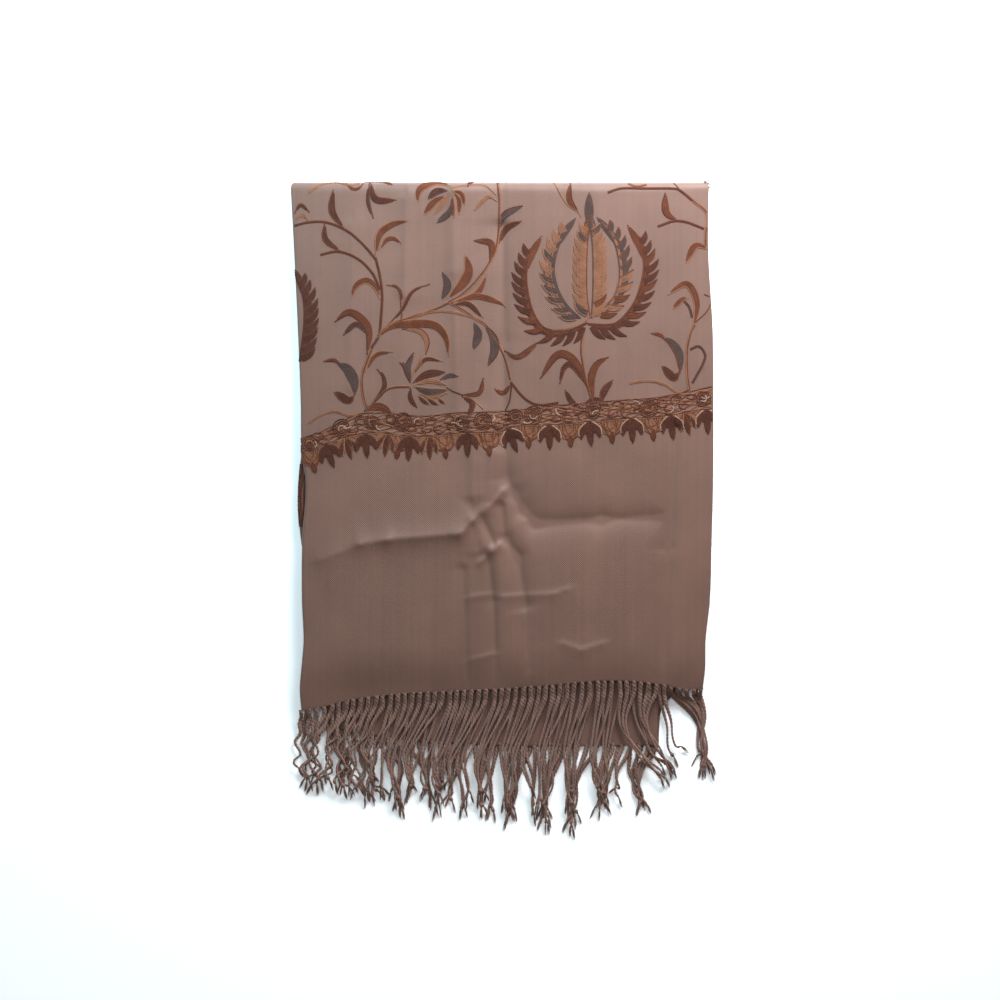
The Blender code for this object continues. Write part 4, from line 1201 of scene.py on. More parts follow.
def loop_row(number, x, base, aside, down):
    """One of the loops that hang on a tan pendant, the outermost being number 0."""
    reach = LOOP_REACH - LOOP_NARROWER * number
    drop = (LOOP_DROP - LOOP_SHORTER * number) * PENDANT_DROP
    turn = np.linspace(math.pi, 2 * math.pi, 24)
    uneven = 1 + LOOP_UNEVEN * np.sin(4 * turn + reach + x)
    along = (reach * np.cos(turn) * uneven)[:, None]
    fall = (-drop * np.sin(turn) * uneven)[:, None]
    return ("rust", even_path(base + aside * along + down * fall, STEP))


def pendant_rows(pendant):
    """A drop that hangs below the border: dark petals, or a scallop of tan loops."""
    rise = lower_rail(pendant.x + SLOPE_ROOM) - lower_rail(pendant.x - SLOPE_ROOM)
    slope = rise / (2 * SLOPE_ROOM)
    down = np.array((slope, -1.0)) / math.hypot(slope, 1)
    aside = np.array((-down[1], down[0]))
    base = np.array((pendant.x, float(lower_rail(pendant.x))))
    if pendant.kind == "dark":
        rows, ground = petal_rows(DARK_MIDDLE, base, aside, down), []
        petals = DARK_SIDES + ((DARK_OUTLINE,) if pendant.x > 0 else ())
        for side in (-1, 1):
            ground += petal_rows(DARK_GROUND, base, aside, down, side)
            for petal in petals:
                rows += petal_rows(petal, base, aside, down, side)
        return ground + raised(rows, OVER_MORE)
    if pendant.kind == "split":
        rows = petal_rows(SPLIT_MIDDLE, base, aside, down)
        for side in (-1, 1):
            for petal in SPLIT_SIDES:
                rows += petal_rows(petal, base, aside, down, side)
        return raised(rows, OVER)
    rows = [row for petal in TAN_PETALS for row in petal_rows(petal, base, aside, down)]
    loops = [loop_row(number, pendant.x, base, aside, down) for number in range(LOOPS)]
    tip = base + down * POINT_FROM * PENDANT_DROP
    end = base + down * POINT_TO * PENDANT_DROP
    point = leaf_rows(Leaf((tip, tip + down * POINT_BEND, end), POINT_WIDTH, "rust", "brown"))
    return rows + raised(loops, OVER) + raised(point, OVER_MORE)


def rail_rows(xs):
    """The lines along the top and the bottom of the border."""
    rows = []
    for rail, threads in ((upper_rail, ("brown",)), (lower_rail, ("tan", "brown"))):
        path = even_path(np.stack((xs, rail(xs)), 1), STEP)
        rows += [(thread, beside(path, (k - 0.5) * ROW)) for k, thread in enumerate(threads)]
    return rows


def wavy(wave, at, number):
    """How far the row of that number swings to one side at each place."""
    return wave.height * np.sin(at / wave.length + wave.shift * number)


def ground_rows(xs):
    """Wavy rows that fill the border between its rails."""
    rows = []
    for number, thread in enumerate(GROUND_THREADS):
        share = (number + 1) / (len(GROUND_THREADS) + 1)
        swing = sum(wavy(wave, xs, number) for wave in GROUND_WAVES)
        path = np.stack((xs, lower_rail(xs) * (1 - share) + upper_rail(xs) * share + swing), 1)
        rows.append((thread, even_path(path, STEP)))
    return rows


def curl_rows():
    """Small curls between the rosettes, with here and there an arc of pale thread that paints a glint."""
    rows, x, index = [], CURLS_FROM, 0
    while x < CURLS_TO:
        low, high = float(lower_rail(x)), float(upper_rail(x))
        y = low + (high - low) * CURL_PLACES[index % 2]
        if min(math.hypot(x - spot.x, y - spot.y) for spot in ROSETTES) > ROSETTE_ROOM:
            # Each curl starts, turns and flattens differently.
            for thread, reach in CURL_REACHES:
                start = 2.4 * index + 0.9 * reach
                end = start + 3.2 + 0.9 * math.sin(3.0 * index)
                height = reach * (0.7 + 0.2 * math.sin(index))
                rows += raised([(thread, arc(x, y, reach, height, start, end, 12))], OVER)
        # A pale arc: a painted glint.
        if index % PALE_EVERY == 2:
            ends = (PALE_ARC_FROM + index, PALE_ARC_TO + index)
            rows += raised([("pale", arc(x, y, PALE_ARC_WIDTH, PALE_ARC_HEIGHT, *ends, 8))], OVER_MORE)
        x += CURL_STEP + CURL_STEP_CHANGE * math.sin(CURL_STEP_TURN * index)
        index += 1
    return rows


def border_rows():
    """The band between the two rails: rosettes on a ground of small scrolls, with drops below."""
    xs = np.linspace(BORDER_FROM, BORDER_TO, 400)
    rows = rail_rows(xs) + ground_rows(xs) + curl_rows()
    for index, spot in enumerate(ROSETTES):
        rows += rosette_rows(spot, index)
    for pendant in sorted(PENDANTS, key=lambda pendant: PENDANT_ORDER.index(pendant.kind)):
        rows += pendant_rows(pendant)
    return rows


def vine_rows():
    """The vines, leaves, flowers and the tall lotus above the border."""
    rows = []
    for feather in FEATHERS:
        rows += feather_rows(feather)
    for leaf in LEAVES:
        rows += leaf_rows(leaf)
    for stem in STEMS:
        rows += stem_rows(stem)
    return rows


def worked_rows(rows, shift=0.0):
    """Rows moved along the sheet, each cut where it would leave the cloth at the selvedge."""
    kept = []
    for thread, path in rows:
        path = path + np.array((0.0, shift, 0.0))[: path.shape[1]]
        _, right, _ = side_edges(path[:, 1])
        inside = path[:, 0] < right - SELVEDGE_ROOM
        turns = np.flatnonzero(np.diff(np.concatenate(([False], inside, [False])).astype(int)))
        for first, last in zip(turns[::2], turns[1::2]):
            if last - first >= LEAST_POINTS:
                kept.append((thread, path[first:last]))
    return kept


def stitched_row(path, stitch, random):
    """Chain stitches along one row, as rings of points across it: (x, y, height over the cloth)."""
    run = np.concatenate(([0], np.cumsum(np.linalg.norm(np.diff(path[:, :2], axis=0), axis=1))))
    count = max(1, round(run[-1] / stitch))
    at = np.sort(np.concatenate((np.arange(count + 1), np.arange(count) + LOOP_PLACE)))
    at = at * (run[-1] / count)
    spot = np.stack([np.interp(at, run, path[:, axis]) for axis in (0, 1)], 1)
    over = np.interp(at, run, path[:, 2])[:, None] if path.shape[1] > 2 else 0.0
    way = np.gradient(spot, axis=0)
    way /= np.maximum(np.linalg.norm(way, axis=1), 1e-9)[:, None]
    side = np.stack((-way[:, 1], way[:, 0]), 1)
    joint = (np.arange(len(at)) % 2 == 0)[:, None]
    size = THREAD_WIDTH * (1 + UNEVEN_WIDTH * random.uniform(-1, 1, len(at)))[:, None]
    reach = LOOP_ACROSS * np.where(joint, JOINT_WIDTH, 1.0) * size
    rise = np.where(joint, JOINT_PROFILE, LOOP_PROFILE) * THREAD_HEIGHT
    rise = rise * (1 + UNEVEN_HEIGHT * random.uniform(-1, 1, len(at)))[:, None] + over
    flat = spot[:, None, :] + side[:, None, :] * reach[..., None]
    return np.concatenate((flat, rise[..., None]), -1)


def stitched(rows, stitch, seed):
    """Points and quads of chain stitches of about that length worked along rows."""
    random = np.random.default_rng(seed)
    points, faces, start = [], [], 0
    for path in rows:
        rings = stitched_row(path, stitch, random)
        points.append(rings.reshape(-1, 3))
        faces.append(grid_faces(*rings.shape[:2]) + start)
        start += len(points[-1])
    return np.concatenate(points), np.concatenate(faces)


def thread_material(name, colour):
    """Matt spun thread, lighter on the crown of each loop and uneven from stitch to stitch."""
    surface = new_surface(name, roughness=0.9, gloss=0.12)
    return spun_material(
        surface, colour, "Weave", stretch=(1.0, 1.0, 1.0), shades=(0.72, 1.3), strength=0.3, depth=0.0002
    )


def embroidery(side, rows, settings, stitch=STITCH):
    """One mesh for each thread colour worked on one side of the shawl."""
    low = np.min([path[:, :2].min(axis=0) for _, path in rows], axis=0) - BAKE_ROOM
    high = np.max([path[:, :2].max(axis=0) for _, path in rows], axis=0) + BAKE_ROOM
    for seed, thread in enumerate(THREADS):
        paths = [path for name, path in rows if name == thread]
        if not paths:
            continue
        points, faces = stitched(paths, stitch, seed)
        worked = place(points[:, 0], points[:, 1], points[:, 2])
        name = f"{thread}_thread"
        material = bpy.data.materials.get(name) or thread_material(name, getattr(settings, thread))
        maps = {"Weave": points[:, :2] * MM, "OFBake": (points[:, :2] - low) / (high - low)}
        mesh_piece(f"{thread}_stitches_{side}", worked, faces[:, ::-1], material, maps)


def inner_border_rows():
    """The inner end's own border, where it shows at the soft fold past the front end."""
    y = np.linspace(*INNER_BORDER, INNER_POINTS)
    v = DOWN_FROM + TOP_START - y
    left, _, radius = side_edges(v)
    rows = []
    for number, thread in enumerate(INNER_THREADS):
        swing = wavy(INNER_WAVE, y, number)
        u = left + radius - math.pi * radius + INNER_SHIFT - ROW * number + swing
        rows.append((thread, even_path(np.stack((u, v), 1), STEP)))
    return rows


def front_embroidery(settings):
    """What is worked on the front, and the inner end's border."""
    embroidery("front", worked_rows(vine_rows() + border_rows()), settings)
    embroidery("inner_end", inner_border_rows(), settings)


def back_embroidery(settings):
    """The same vines again below the fold, twice, as they repeat along the shawl."""
    rows = [(thread, path) for thread, path in vine_rows() if path[:, 1].max() < BELOW_FOLD]
    repeat = [row for shift in (REPEAT, 2 * REPEAT) for row in worked_rows(rows, shift)]
    embroidery("underside", repeat, settings, UNDERSIDE_STITCH)


# Fringes. Each cord is two yarns twisted together, knotted near its end and frayed past the knot.
# Cords gather as they hang: a Gather takes the next few roots from the left to a place, and on to
# its tip, with how far the cords spread there and how much they curl.
Gather = namedtuple("Gather", "cords x y tip_x tip_y spread curl")
FringePly = namedtuple("FringePly", "node end under left right gathers seed")
CORD_RADIUS = 1.1
CORD_LEAST = 0.95  # thickness of a cord where it is thinnest, as a share of that radius
CORD_FULL, FULL_TO, THIN_FROM = 0.8, 12.0, 46.0  # fuller near the hem, by so much, to so far down
CORD_LOBE = 0.13  # how far the two yarns stand out
CORD_TWIST = 7.0  # length of one turn
CORD_FLAT = 0.68  # height over width, as the cords lie pressed
CORD_STEP = 1.5
CORD_SIDES = 8
LUMPS, LUMP_LENGTH = 0.05, 3.1  # how uneven a cord is along its length
KNOT_SIZE, KNOT_LENGTH, KNOT_BACK = 1.0, 1.3, 3.0
KNOTTED = 0.3  # share of the cords that still have a knot
ROOT_FLARE, ROOT_LENGTH = 0.25, 4.0  # threads of the cloth gather into each cord
ROOT_SHIFT = 0.8  # roots, and the points below them, stand unevenly by up to this
ROOT_INSIDE, ROOT_STRAIGHT = 1.2, 2.5  # a cord starts inside the hem and leaves it straight
NEAR_ASIDE, NEAR_DOWN = 0.12, 0.30  # its next point, in shares of the way to where it gathers
GATHER_STEP, GATHER_SHIFT = 2.3, 4.0  # from cord to cord there, and how uneven they are
BEYOND, CROSSING = 0.55, 0.6  # its point after that, on the way to the tip, where cords cross over
TIP_STEP, TIP_SHIFTS = 0.55, (-2, 8)  # from tip to tip, as a share of the spread, and how uneven
CURL_TURNS, CURL_GROWTH = (1.5, 2.6), 1.2  # how often a cord swings, and how that grows to its tip
CURLY, CURLIER = 2, 1.4  # a cord that curls more than this swings this many times as often
SWAY, SWAY_TURN = 0.4, 5.0  # the share of a swing that goes along the cord, and how it changes
PHASES = (0, 6)  # where a wave starts, in radians
WAVE_LENGTHS, WAVE_HEIGHT, WAVE_FROM, WAVE_TO = (5, 9), 0.9, 4.0, 20.0  # of the rises along a cord
DROP_FROM, DROP_TO = 1.0, 11.0  # it comes down from the hem to what it lies on over this length
INNER_CORDS, UPPER_CORDS = 3.2, 1.7  # heights of the cords that others lie on, in cord radii
HEM_FADE = (-6.0, 2.0)  # the inner end's cloth counts from past its hem to above it
TUFT_FIBRES, TUFT_LENGTH, TUFT_RADIUS, TUFT_SIDES = 13, 10.5, 0.55, 4
TUFT_STEPS = 6
TUFT_TAPER = 0.25  # thickness of a fibre's end
TUFT_FAN, TUFT_CLOSES = 0.15, 1.8  # how far its fibres fan out, and how much they turn back
TUFT_LENGTHS = (0.5, 1.05)  # shares of the tuft's length
TUFT_LOW, TUFT_RISE, TUFT_SHIFT, TUFT_LEAST = 0.45, 1.3, 0.3, 0.4  # heights over the table
LEAST_HEIGHT = 0.1  # no yarn goes lower
CORNER, CORNER_ROOM, CORNER_FIBRES = (189.0, 299.0), (4.0, 9.0), 60
CORNER_HEADING, CORNER_FAN, CORNER_BEND = 0.5, 0.6, 1.2
CORNER_LENGTHS, CORNER_RADIUS, CORNER_SIDES = (4, 10), 0.3, 3
CORNER_HEIGHTS, CORNER_LIFT = (3, STACK - 1), 2.0
CORNER_SEED = 11
# In the maps: the yarn's width round a cord, the length that fills the baked picture, and the
# shares of a cord's own strip of it.
YARN_ROUND, BAKED_LENGTH, BAKED_CORD = 0.004, 0.14, 0.5
BAKED_FIBRES_FROM, BAKED_FIBRE_STEP, BAKED_FIBRE = 0.55, 0.04, 0.03
CORNER_ROUND, BAKED_CORNER_FIBRE, BAKED_CORNER = 0.001, 0.25, 90.0
FRONT_TOP_GATHERS = (
    Gather(1, -189, -216, -188, -250, 1, 4.5),
    Gather(2, -180, -222, -184, -262, 3, 5.0),
    Gather(2, -171, -216, -174, -266, 5, 5.5),
    Gather(2, -161, -226, -158, -260, 5, 5.0),
    Gather(2, -148, -222, -151, -268, 5, 5.0),
    Gather(3, -137, -226, -134, -270, 6, 3.5),
    Gather(2, -118, -228, -124, -266, 4, 2.5),
    Gather(3, -104, -232, -96, -276, 4, 1.5),
    Gather(3, -88, -230, -84, -268, 3, 1.0),
    Gather(3, -62, -236, -60, -272, 3, 1.0),
    Gather(3, -47, -234, -50, -266, 4, 1.0),
    Gather(3, -22, -236, -20, -276, 4, 0.8),
    Gather(3, 2, -232, 5, -284, 4, 0.8),
    Gather(2, 20, -230, 27, -270, 4, 1.0),
    Gather(3, 36, -230, 33, -286, 4, 0.8),
    Gather(3, 60, -228, 62, -284, 4, 0.8),
    Gather(3, 84, -226, 88, -272, 4, 1.0),
    Gather(3, 112, -204, 147, -256, 4, 0.6),
    Gather(3, 131, -197, 157, -250, 4, 0.6),
    Gather(1, 157, -205, 163, -236, 3, 1.2),
    Gather(5, 183, -192, 189, -250, 4, 0.4),
)
FRONT_UNDER_GATHERS = (
    Gather(1, -184, -212, -178, -248, 3, 3.5),
    Gather(2, -176, -228, -167, -256, 5, 5.0),
    Gather(2, -158, -214, -165, -262, 5, 5.5),
    Gather(2, -142, -230, -145, -256, 5, 4.5),
    Gather(2, -128, -224, -118, -262, 5, 2.5),
    Gather(2, -110, -236, -112, -272, 5, 2.0),
    Gather(2, -92, -226, -100, -268, 4, 1.5),
    Gather(3, -72, -232, -70, -270, 4, 1.0),
    Gather(2, -52, -228, -54, -264, 3, 1.0),
    Gather(3, -34, -232, -31, -278, 4, 1.0),
    Gather(2, -12, -230, -14, -272, 4, 1.0),
    Gather(3, 10, -228, 8, -280, 5, 1.0),
    Gather(3, 46, -230, 40, -282, 4, 1.0),
    Gather(2, 68, -226, 64, -278, 4, 1.0),
    Gather(3, 96, -222, 92, -276, 4, 1.0),
    Gather(3, 128, -204, 150, -248, 4, 0.8),
    Gather(1, 152, -206, 160, -240, 3, 1.5),
    Gather(4, 180, -196, 186, -246, 5, 0.6),
)
INNER_TOP_GATHERS = (
    Gather(3, -150, -226, -146, -268, 7, 3.0),
    Gather(3, -128, -236, -126, -276, 6, 2.5),
    Gather(3, -103, -240, -92, -284, 5, 1.5),
    Gather(3, -84, -242, -86, -272, 4, 1.0),
    Gather(3, -58, -252, -59, -286, 4, 0.8),
    Gather(2, -40, -246, -35, -288, 4, 0.8),
    Gather(3, -20, -250, -18, -288, 4, 0.8),
    Gather(3, 4, -250, 6, -295, 5, 0.8),
    Gather(2, 29, -252, 29, -292, 3, 0.8),
    Gather(3, 40, -256, 41, -300, 4, 0.8),
    Gather(3, 64, -256, 63, -304, 4, 0.8),
    Gather(3, 90, -250, 91, -286, 6, 0.8),
    Gather(2, 106, -246, 106, -274, 4, 1.2),
    Gather(3, 126, -250, 128, -284, 5, 0.8),
)
INNER_UNDER_GATHERS = (
    Gather(2, -144, -232, -138, -262, 6, 3.0),
    Gather(3, -120, -240, -114, -272, 6, 2.5),
    Gather(2, -94, -244, -97, -280, 4, 1.5),
    Gather(3, -70, -246, -64, -282, 5, 1.0),
    Gather(3, -46, -250, -50, -280, 5, 1.0),
    Gather(3, -12, -246, -10, -290, 5, 1.0),
    Gather(3, 14, -248, 8, -292, 5, 1.0),
    Gather(3, 44, -250, 38, -294, 5, 1.0),
    Gather(3, 70, -250, 66, -296, 5, 1.0),
    Gather(2, 98, -250, 94, -284, 4, 1.0),
    Gather(3, 120, -246, 131, -282, 6, 1.0),
)
FRINGE_PLIES = (
    FringePly("fringe_front", "front", False, -184.5, 183, FRONT_TOP_GATHERS, 3),
    FringePly("fringe_front_under", "front", True, -181, 180, FRONT_UNDER_GATHERS, 5),
    FringePly("fringe_inner", "inner", False, -161, 142, INNER_TOP_GATHERS, 7),
    FringePly("fringe_inner_under", "inner", True, -158, 139, INNER_UNDER_GATHERS, 9),
)
# Where the front end's cords lie over the inner end, and where they lie on the table beside it.
BESIDE_LEFT, OVER_LEFT, OVER_RIGHT, BESIDE_RIGHT = -182, -168, 146, 162


def ply_level(ply, y):
    """Height of the middle of a ply's wall, near its hem."""
    if ply.end == "front":
        level = STACK - FRONT_DROOP * smooth_step(FRONT_DROOP_FROM, FRONT_DROOP_TO, y)
    else:
        level = STACK - LAYER_STEP - DROOP * smooth_step(DROOP_FROM, DROOP_TO, y)
    return level - (PAIR - LIP if ply.under else LIP)


def lying_height(ply, x, y, radius):
    """Height of a cord's middle where it lies on the inner end, on other cords or on the table."""
    below = np.zeros_like(x)
    if ply.end == "front":
        past, above = (inner_hem(x) + fade for fade in HEM_FADE)
        inner = STACK - LAYER_STEP - DROOP * smooth_step(DROOP_FROM, DROOP_TO, y)
        over = smooth_step(BESIDE_LEFT, OVER_LEFT, x) * smooth_step(BESIDE_RIGHT, OVER_RIGHT, x)
        below = np.maximum(inner * smooth_step(past, above, y), INNER_CORDS * radius) * over
    return below + radius + (0.0 if ply.under else UPPER_CORDS * radius)


def cord_line(ply, root, gather, order, random):
    """One cord from its root at the hem through its gathering place to its tip."""
    hem = front_hem if ply.end == "front" else inner_hem
    y = float(hem(np.array(root))) + (HEM_INSET / 2 if ply.under else 0.0)
    aside = GATHER_STEP * order
    way = np.array((gather.x + aside - root, gather.y - y))
    cross = random.uniform(-1, 1) * 0.5 * gather.spread
    tip_aside = gather.spread * (TIP_STEP * order + random.uniform(-0.5, 0.5))
    near_x = root + NEAR_ASIDE * way[0] + random.uniform(-ROOT_SHIFT, ROOT_SHIFT)
    at = (gather.x + aside, gather.y + random.uniform(-GATHER_SHIFT, GATHER_SHIFT))
    beyond_x = 0.5 * (gather.x + gather.tip_x) - CROSSING * aside + cross
    beyond_y = (1 - BEYOND) * gather.y + BEYOND * gather.tip_y
    tip_y = gather.tip_y + TUFT_LENGTH / 2 + random.uniform(*TIP_SHIFTS)
    start = [(root, y + ROOT_INSIDE), (root, y - ROOT_STRAIGHT), (near_x, y - NEAR_DOWN * abs(way[1]))]
    end = [at, (beyond_x, beyond_y), (gather.tip_x + tip_aside, tip_y)]
    line = smooth_path(start + end, CORD_STEP)
    share = np.linspace(0, 1, len(line))
    turns = random.uniform(*CURL_TURNS) * (CURLIER if gather.curl > CURLY else 1)
    swing = gather.curl * np.sin(2 * math.pi * (turns * share + random.uniform())) * share**CURL_GROWTH
    line = line + np.stack((swing, SWAY * swing * np.cos(SWAY_TURN * share)), 1)
    return even_path(line, CORD_STEP)


def cord_heights(ply, line, random):
    """Heights along a cord, which drops from the hem on to what is below it."""
    run = np.linspace(0, CORD_STEP * (len(line) - 1), len(line))
    start = ply_level(ply, line[0, 1])
    rest = lying_height(ply, line[:, 0], line[:, 1], CORD_RADIUS)
    wave = 0.5 * np.sin(run / random.uniform(*WAVE_LENGTHS) + random.uniform(*PHASES)) + 0.5
    rest = rest + WAVE_HEIGHT * wave * smooth_step(WAVE_FROM, WAVE_TO, run)
    return start + (rest - start) * smooth_step(DROP_FROM, DROP_TO, run)


def tube(line, radii, turns=None, sides=CORD_SIDES):
    """Rings round a line of (x, y, z). With turns, the section has two lobes that wind along it."""
    way = np.gradient(line, axis=0)
    way /= np.maximum(np.linalg.norm(way, axis=1), 1e-9)[:, None]
    aside = np.cross(way, (0.0, 0.0, 1.0))
    aside /= np.maximum(np.linalg.norm(aside, axis=1), 1e-9)[:, None]
    above = np.cross(aside, way)
    angle = 2 * math.pi * np.arange(sides) / sides
    spin = np.zeros(len(line)) if turns is None else turns
    section = 1.0 if turns is None else 1 + CORD_LOBE * np.cos(2 * angle)[None, :]
    reach = radii[:, None] * section * np.ones((1, sides))
    turned = angle[None, :] + spin[:, None]
    offset = aside[:, None, :] * (reach * np.cos(turned))[..., None]
    offset = offset + above[:, None, :] * (CORD_FLAT * reach * np.sin(turned))[..., None]
    return line[:, None, :] + offset


def ring_faces(rings, sides, start):
    """Quads of a closed tube of rings, numbered from start."""
    index = np.arange(rings * sides).reshape(rings, sides) + start
    beside_index = np.roll(index, -1, axis=1)
    corners = (index[:-1], beside_index[:-1], beside_index[1:], index[1:])
    return np.stack([corner.ravel() for corner in corners], axis=1)


def cord_rings(line, random):
    """The rings of one twisted cord, flared at its root and knotted near its end."""
    run = np.concatenate(([0], np.cumsum(np.linalg.norm(np.diff(line, axis=0), axis=1))))
    length = run[-1]
    full = CORD_FULL * (1 - smooth_step(FULL_TO, THIN_FROM, run))
    radii = CORD_RADIUS * (CORD_LEAST + full + ROOT_FLARE * np.exp(-run / ROOT_LENGTH))
    radii = radii * (1 + LUMPS * np.sin(run / LUMP_LENGTH + random.uniform(*PHASES)))
    knot = length - KNOT_BACK
    size = KNOT_SIZE * (random.uniform() < KNOTTED)
    radii = radii + size * np.exp(-(((run - knot) / KNOT_LENGTH) ** 2))
    radii[-1] *= 0.5
    turns = 2 * math.pi * run / CORD_TWIST + random.uniform(*PHASES)
    return tube(line, radii, turns), run


def tuft_lines(line, random):
    """Frayed fibres that fan out past a cord's knot and draw together again at their ends."""
    end = line[-1]
    way = line[-1, :2] - line[-4, :2]
    heading = math.atan2(way[1], way[0])
    off_straight = -math.pi / 2 - heading
    heading += 0.5 * math.atan2(math.sin(off_straight), math.cos(off_straight))
    t = np.linspace(0, 1, TUFT_STEPS)
    fibres = []
    for _ in range(TUFT_FIBRES):
        angle = heading + random.normal(0, TUFT_FAN) * (1 - TUFT_CLOSES * t)
        step = TUFT_LENGTH * random.uniform(*TUFT_LENGTHS) / (TUFT_STEPS - 1)
        x = end[0] + np.concatenate(([0], np.cumsum(step * np.cos(angle[:-1]))))
        y = end[1] + np.concatenate(([0], np.cumsum(step * np.sin(angle[:-1]))))
        low = TUFT_LOW + random.uniform(0, TUFT_RISE)
        z = end[2] + (low - end[2]) * smooth_step(0, 1, t) + random.uniform(-TUFT_SHIFT, TUFT_SHIFT)
        fibres.append(np.stack((x, y, np.maximum(z, TUFT_LEAST)), 1))
    return fibres


class Tubes:
    """Tubes gathered into one mesh."""

    def __init__(self):
        self.points, self.faces, self.start = [], [], 0
        self.maps = {"Yarn": [], "OFBake": []}

    def add(self, rings, **places):
        """Adds a tube, with the u round it and the v along it for each map."""
        count, sides = rings.shape[:2]
        self.points.append(rings.reshape(-1, 3))
        self.faces.append(ring_faces(count, sides, self.start))
        self.start += count * sides
        for label, (u, v) in places.items():
            both = np.broadcast_arrays(u[None, :], v[:, None])
            self.maps[label].append(np.stack(both, -1).reshape(-1, 2))

    def piece(self, name, material):
        """The piece they make, with nothing below the table."""
        points = np.concatenate(self.points)
        points[:, 2] = np.maximum(points[:, 2], LEAST_HEIGHT)
        maps = {label: np.concatenate(values) for label, values in self.maps.items()}
        return mesh_piece(name, (points + OFFSET) * MM, np.concatenate(self.faces), material, maps)


def strip_places(run, sides, strip, width):
    """Where a cord or a fibre lies in the maps, with its own strip of the baked picture."""
    around, along = np.arange(sides) / sides, run * MM
    yarn = (YARN_ROUND * np.abs(2 * around - 1), along)
    return {"Yarn": yarn, "OFBake": (strip + width * around, along / BAKED_LENGTH)}


def fringe(ply, material):
    """All the cords of one ply's hem as one mesh."""
    random = np.random.default_rng(ply.seed)
    total = sum(gather.cords for gather in ply.gathers)
    roots = np.linspace(ply.left, ply.right, total)
    fibre_radii = TUFT_RADIUS * np.linspace(1, TUFT_TAPER, TUFT_STEPS)
    fibre_run = np.linspace(0, TUFT_LENGTH, TUFT_STEPS)
    tubes, index = Tubes(), 0
    for gather in ply.gathers:
        for order in np.arange(gather.cords) - (gather.cords - 1) / 2:
            root = roots[index] + random.uniform(-ROOT_SHIFT, ROOT_SHIFT)
            flat = cord_line(ply, root, gather, order, random)
            line = np.column_stack((flat, cord_heights(ply, flat, random)))
            rings, run = cord_rings(line, random)
            tubes.add(rings, **strip_places(run, CORD_SIDES, index / total, BAKED_CORD / total))
            for number, fibre in enumerate(tuft_lines(line, random)):
                strip = (index + BAKED_FIBRES_FROM + BAKED_FIBRE_STEP * number) / total
                places = strip_places(fibre_run, TUFT_SIDES, strip, BAKED_FIBRE / total)
                tubes.add(tube(fibre, fibre_radii, sides=TUFT_SIDES), **places)
            index += 1
    piece = tubes.piece(ply.node.replace("fringe", "fringe_cords"), material)
    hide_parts(ply.node)
    return piece


def corner_tuft(material):
    """Loose fibres that stick out where the selvedge meets the top fold."""
    random = np.random.default_rng(CORNER_SEED)
    t = np.linspace(0, 1, TUFT_STEPS)
    around = np.arange(CORNER_SIDES)
    tubes = Tubes()
    for number in range(CORNER_FIBRES):
        spread = random.uniform(0, 1)
        heading = random.normal(CORNER_HEADING, CORNER_FAN)
        run = random.uniform(*CORNER_LENGTHS) * t
        bend = heading + random.uniform(-CORNER_BEND, CORNER_BEND) * t
        x = CORNER[0] - CORNER_ROOM[0] * spread + run * np.cos(bend)
        y = CORNER[1] - CORNER_ROOM[1] * (1 - spread) + run * np.sin(bend)
        z = random.uniform(*CORNER_HEIGHTS) + random.uniform(-CORNER_LIFT, CORNER_LIFT) * t
        strip = (number + BAKED_CORNER_FIBRE * around) / CORNER_FIBRES
        yarn = (CORNER_ROUND * around, run * MM)
        rings = tube(np.column_stack((x, y, z)), CORNER_RADIUS * (1.1 - t), sides=CORNER_SIDES)
        tubes.add(rings, Yarn=yarn, OFBake=(strip, BAKED_CORNER * run * MM))
    return tubes.piece("corner_tuft", material)


def yarn_material(colour):
    """Hairy spun wool, darker between its two yarns."""
    surface = new_surface("twisted_wool", roughness=0.85, sheen=0.2, sheen_tint=(0.9, 0.82, 0.78))
    return spun_material(
        surface, colour, "Yarn", stretch=(1.0, 0.3, 1.0), shades=(0.78, 1.25), strength=0.4, depth=0.0003
    )


class ClothSettings(bpy.types.PropertyGroup):
    """What can be set for the cloth."""

    colour: bpy.props.FloatVectorProperty(
        name="Cloth colour",
        description="Dye of the twill",
        subtype="COLOR",
        size=3,
        min=0,
        max=1,
        default=(0.104, 0.0492, 0.0338),
    )
    rib_spacing: bpy.props.FloatProperty(
        name="Rib spacing",
        description="Distance between the slanting ribs of the weave",
        subtype="DISTANCE",
        unit="LENGTH",
        default=0.0019,
    )
    grid_step: bpy.props.FloatProperty(
        name="Cloth step",
        description="Distance between the points of the front cloth",
        subtype="DISTANCE",
        unit="LENGTH",
        default=0.0018,
    )


class EmbroiderySettings(bpy.types.PropertyGroup):
    """The thread colours."""

    brown: bpy.props.FloatVectorProperty(
        name="Brown thread",
        description="Darkest thread",
        subtype="COLOR",
        size=3,
        default=(0.049, 0.0156, 0.0094),
    )
    rust: bpy.props.FloatVectorProperty(
        name="Rust thread",
        description="Red-brown thread",
        subtype="COLOR",
        size=3,
        default=(0.074, 0.0218, 0.0105),
    )
    tan: bpy.props.FloatVectorProperty(
        name="Tan thread",
        description="Golden tan thread",
        subtype="COLOR",
        size=3,
        default=(0.135, 0.056, 0.031),
    )
    grey: bpy.props.FloatVectorProperty(
        name="Grey thread",
        description="Grey-brown thread",
        subtype="COLOR",
        size=3,
        default=(0.046, 0.0255, 0.0210),
    )
    # The pale thread stands in for glints on the embroidery: painted highlights.
    pale: bpy.props.FloatVectorProperty(
        name="Pale thread",
        description="Lightest thread",
        subtype="COLOR",
        size=3,
        default=(0.195, 0.120, 0.084),
    )


class FringeSettings(bpy.types.PropertyGroup):
    """What can be set for the fringes."""

    colour: bpy.props.FloatVectorProperty(
        name="Yarn colour",
        description="Dye of the twisted cords",
        subtype="COLOR",
        size=3,
        min=0,
        max=1,
        default=(0.140, 0.071, 0.052),
    )


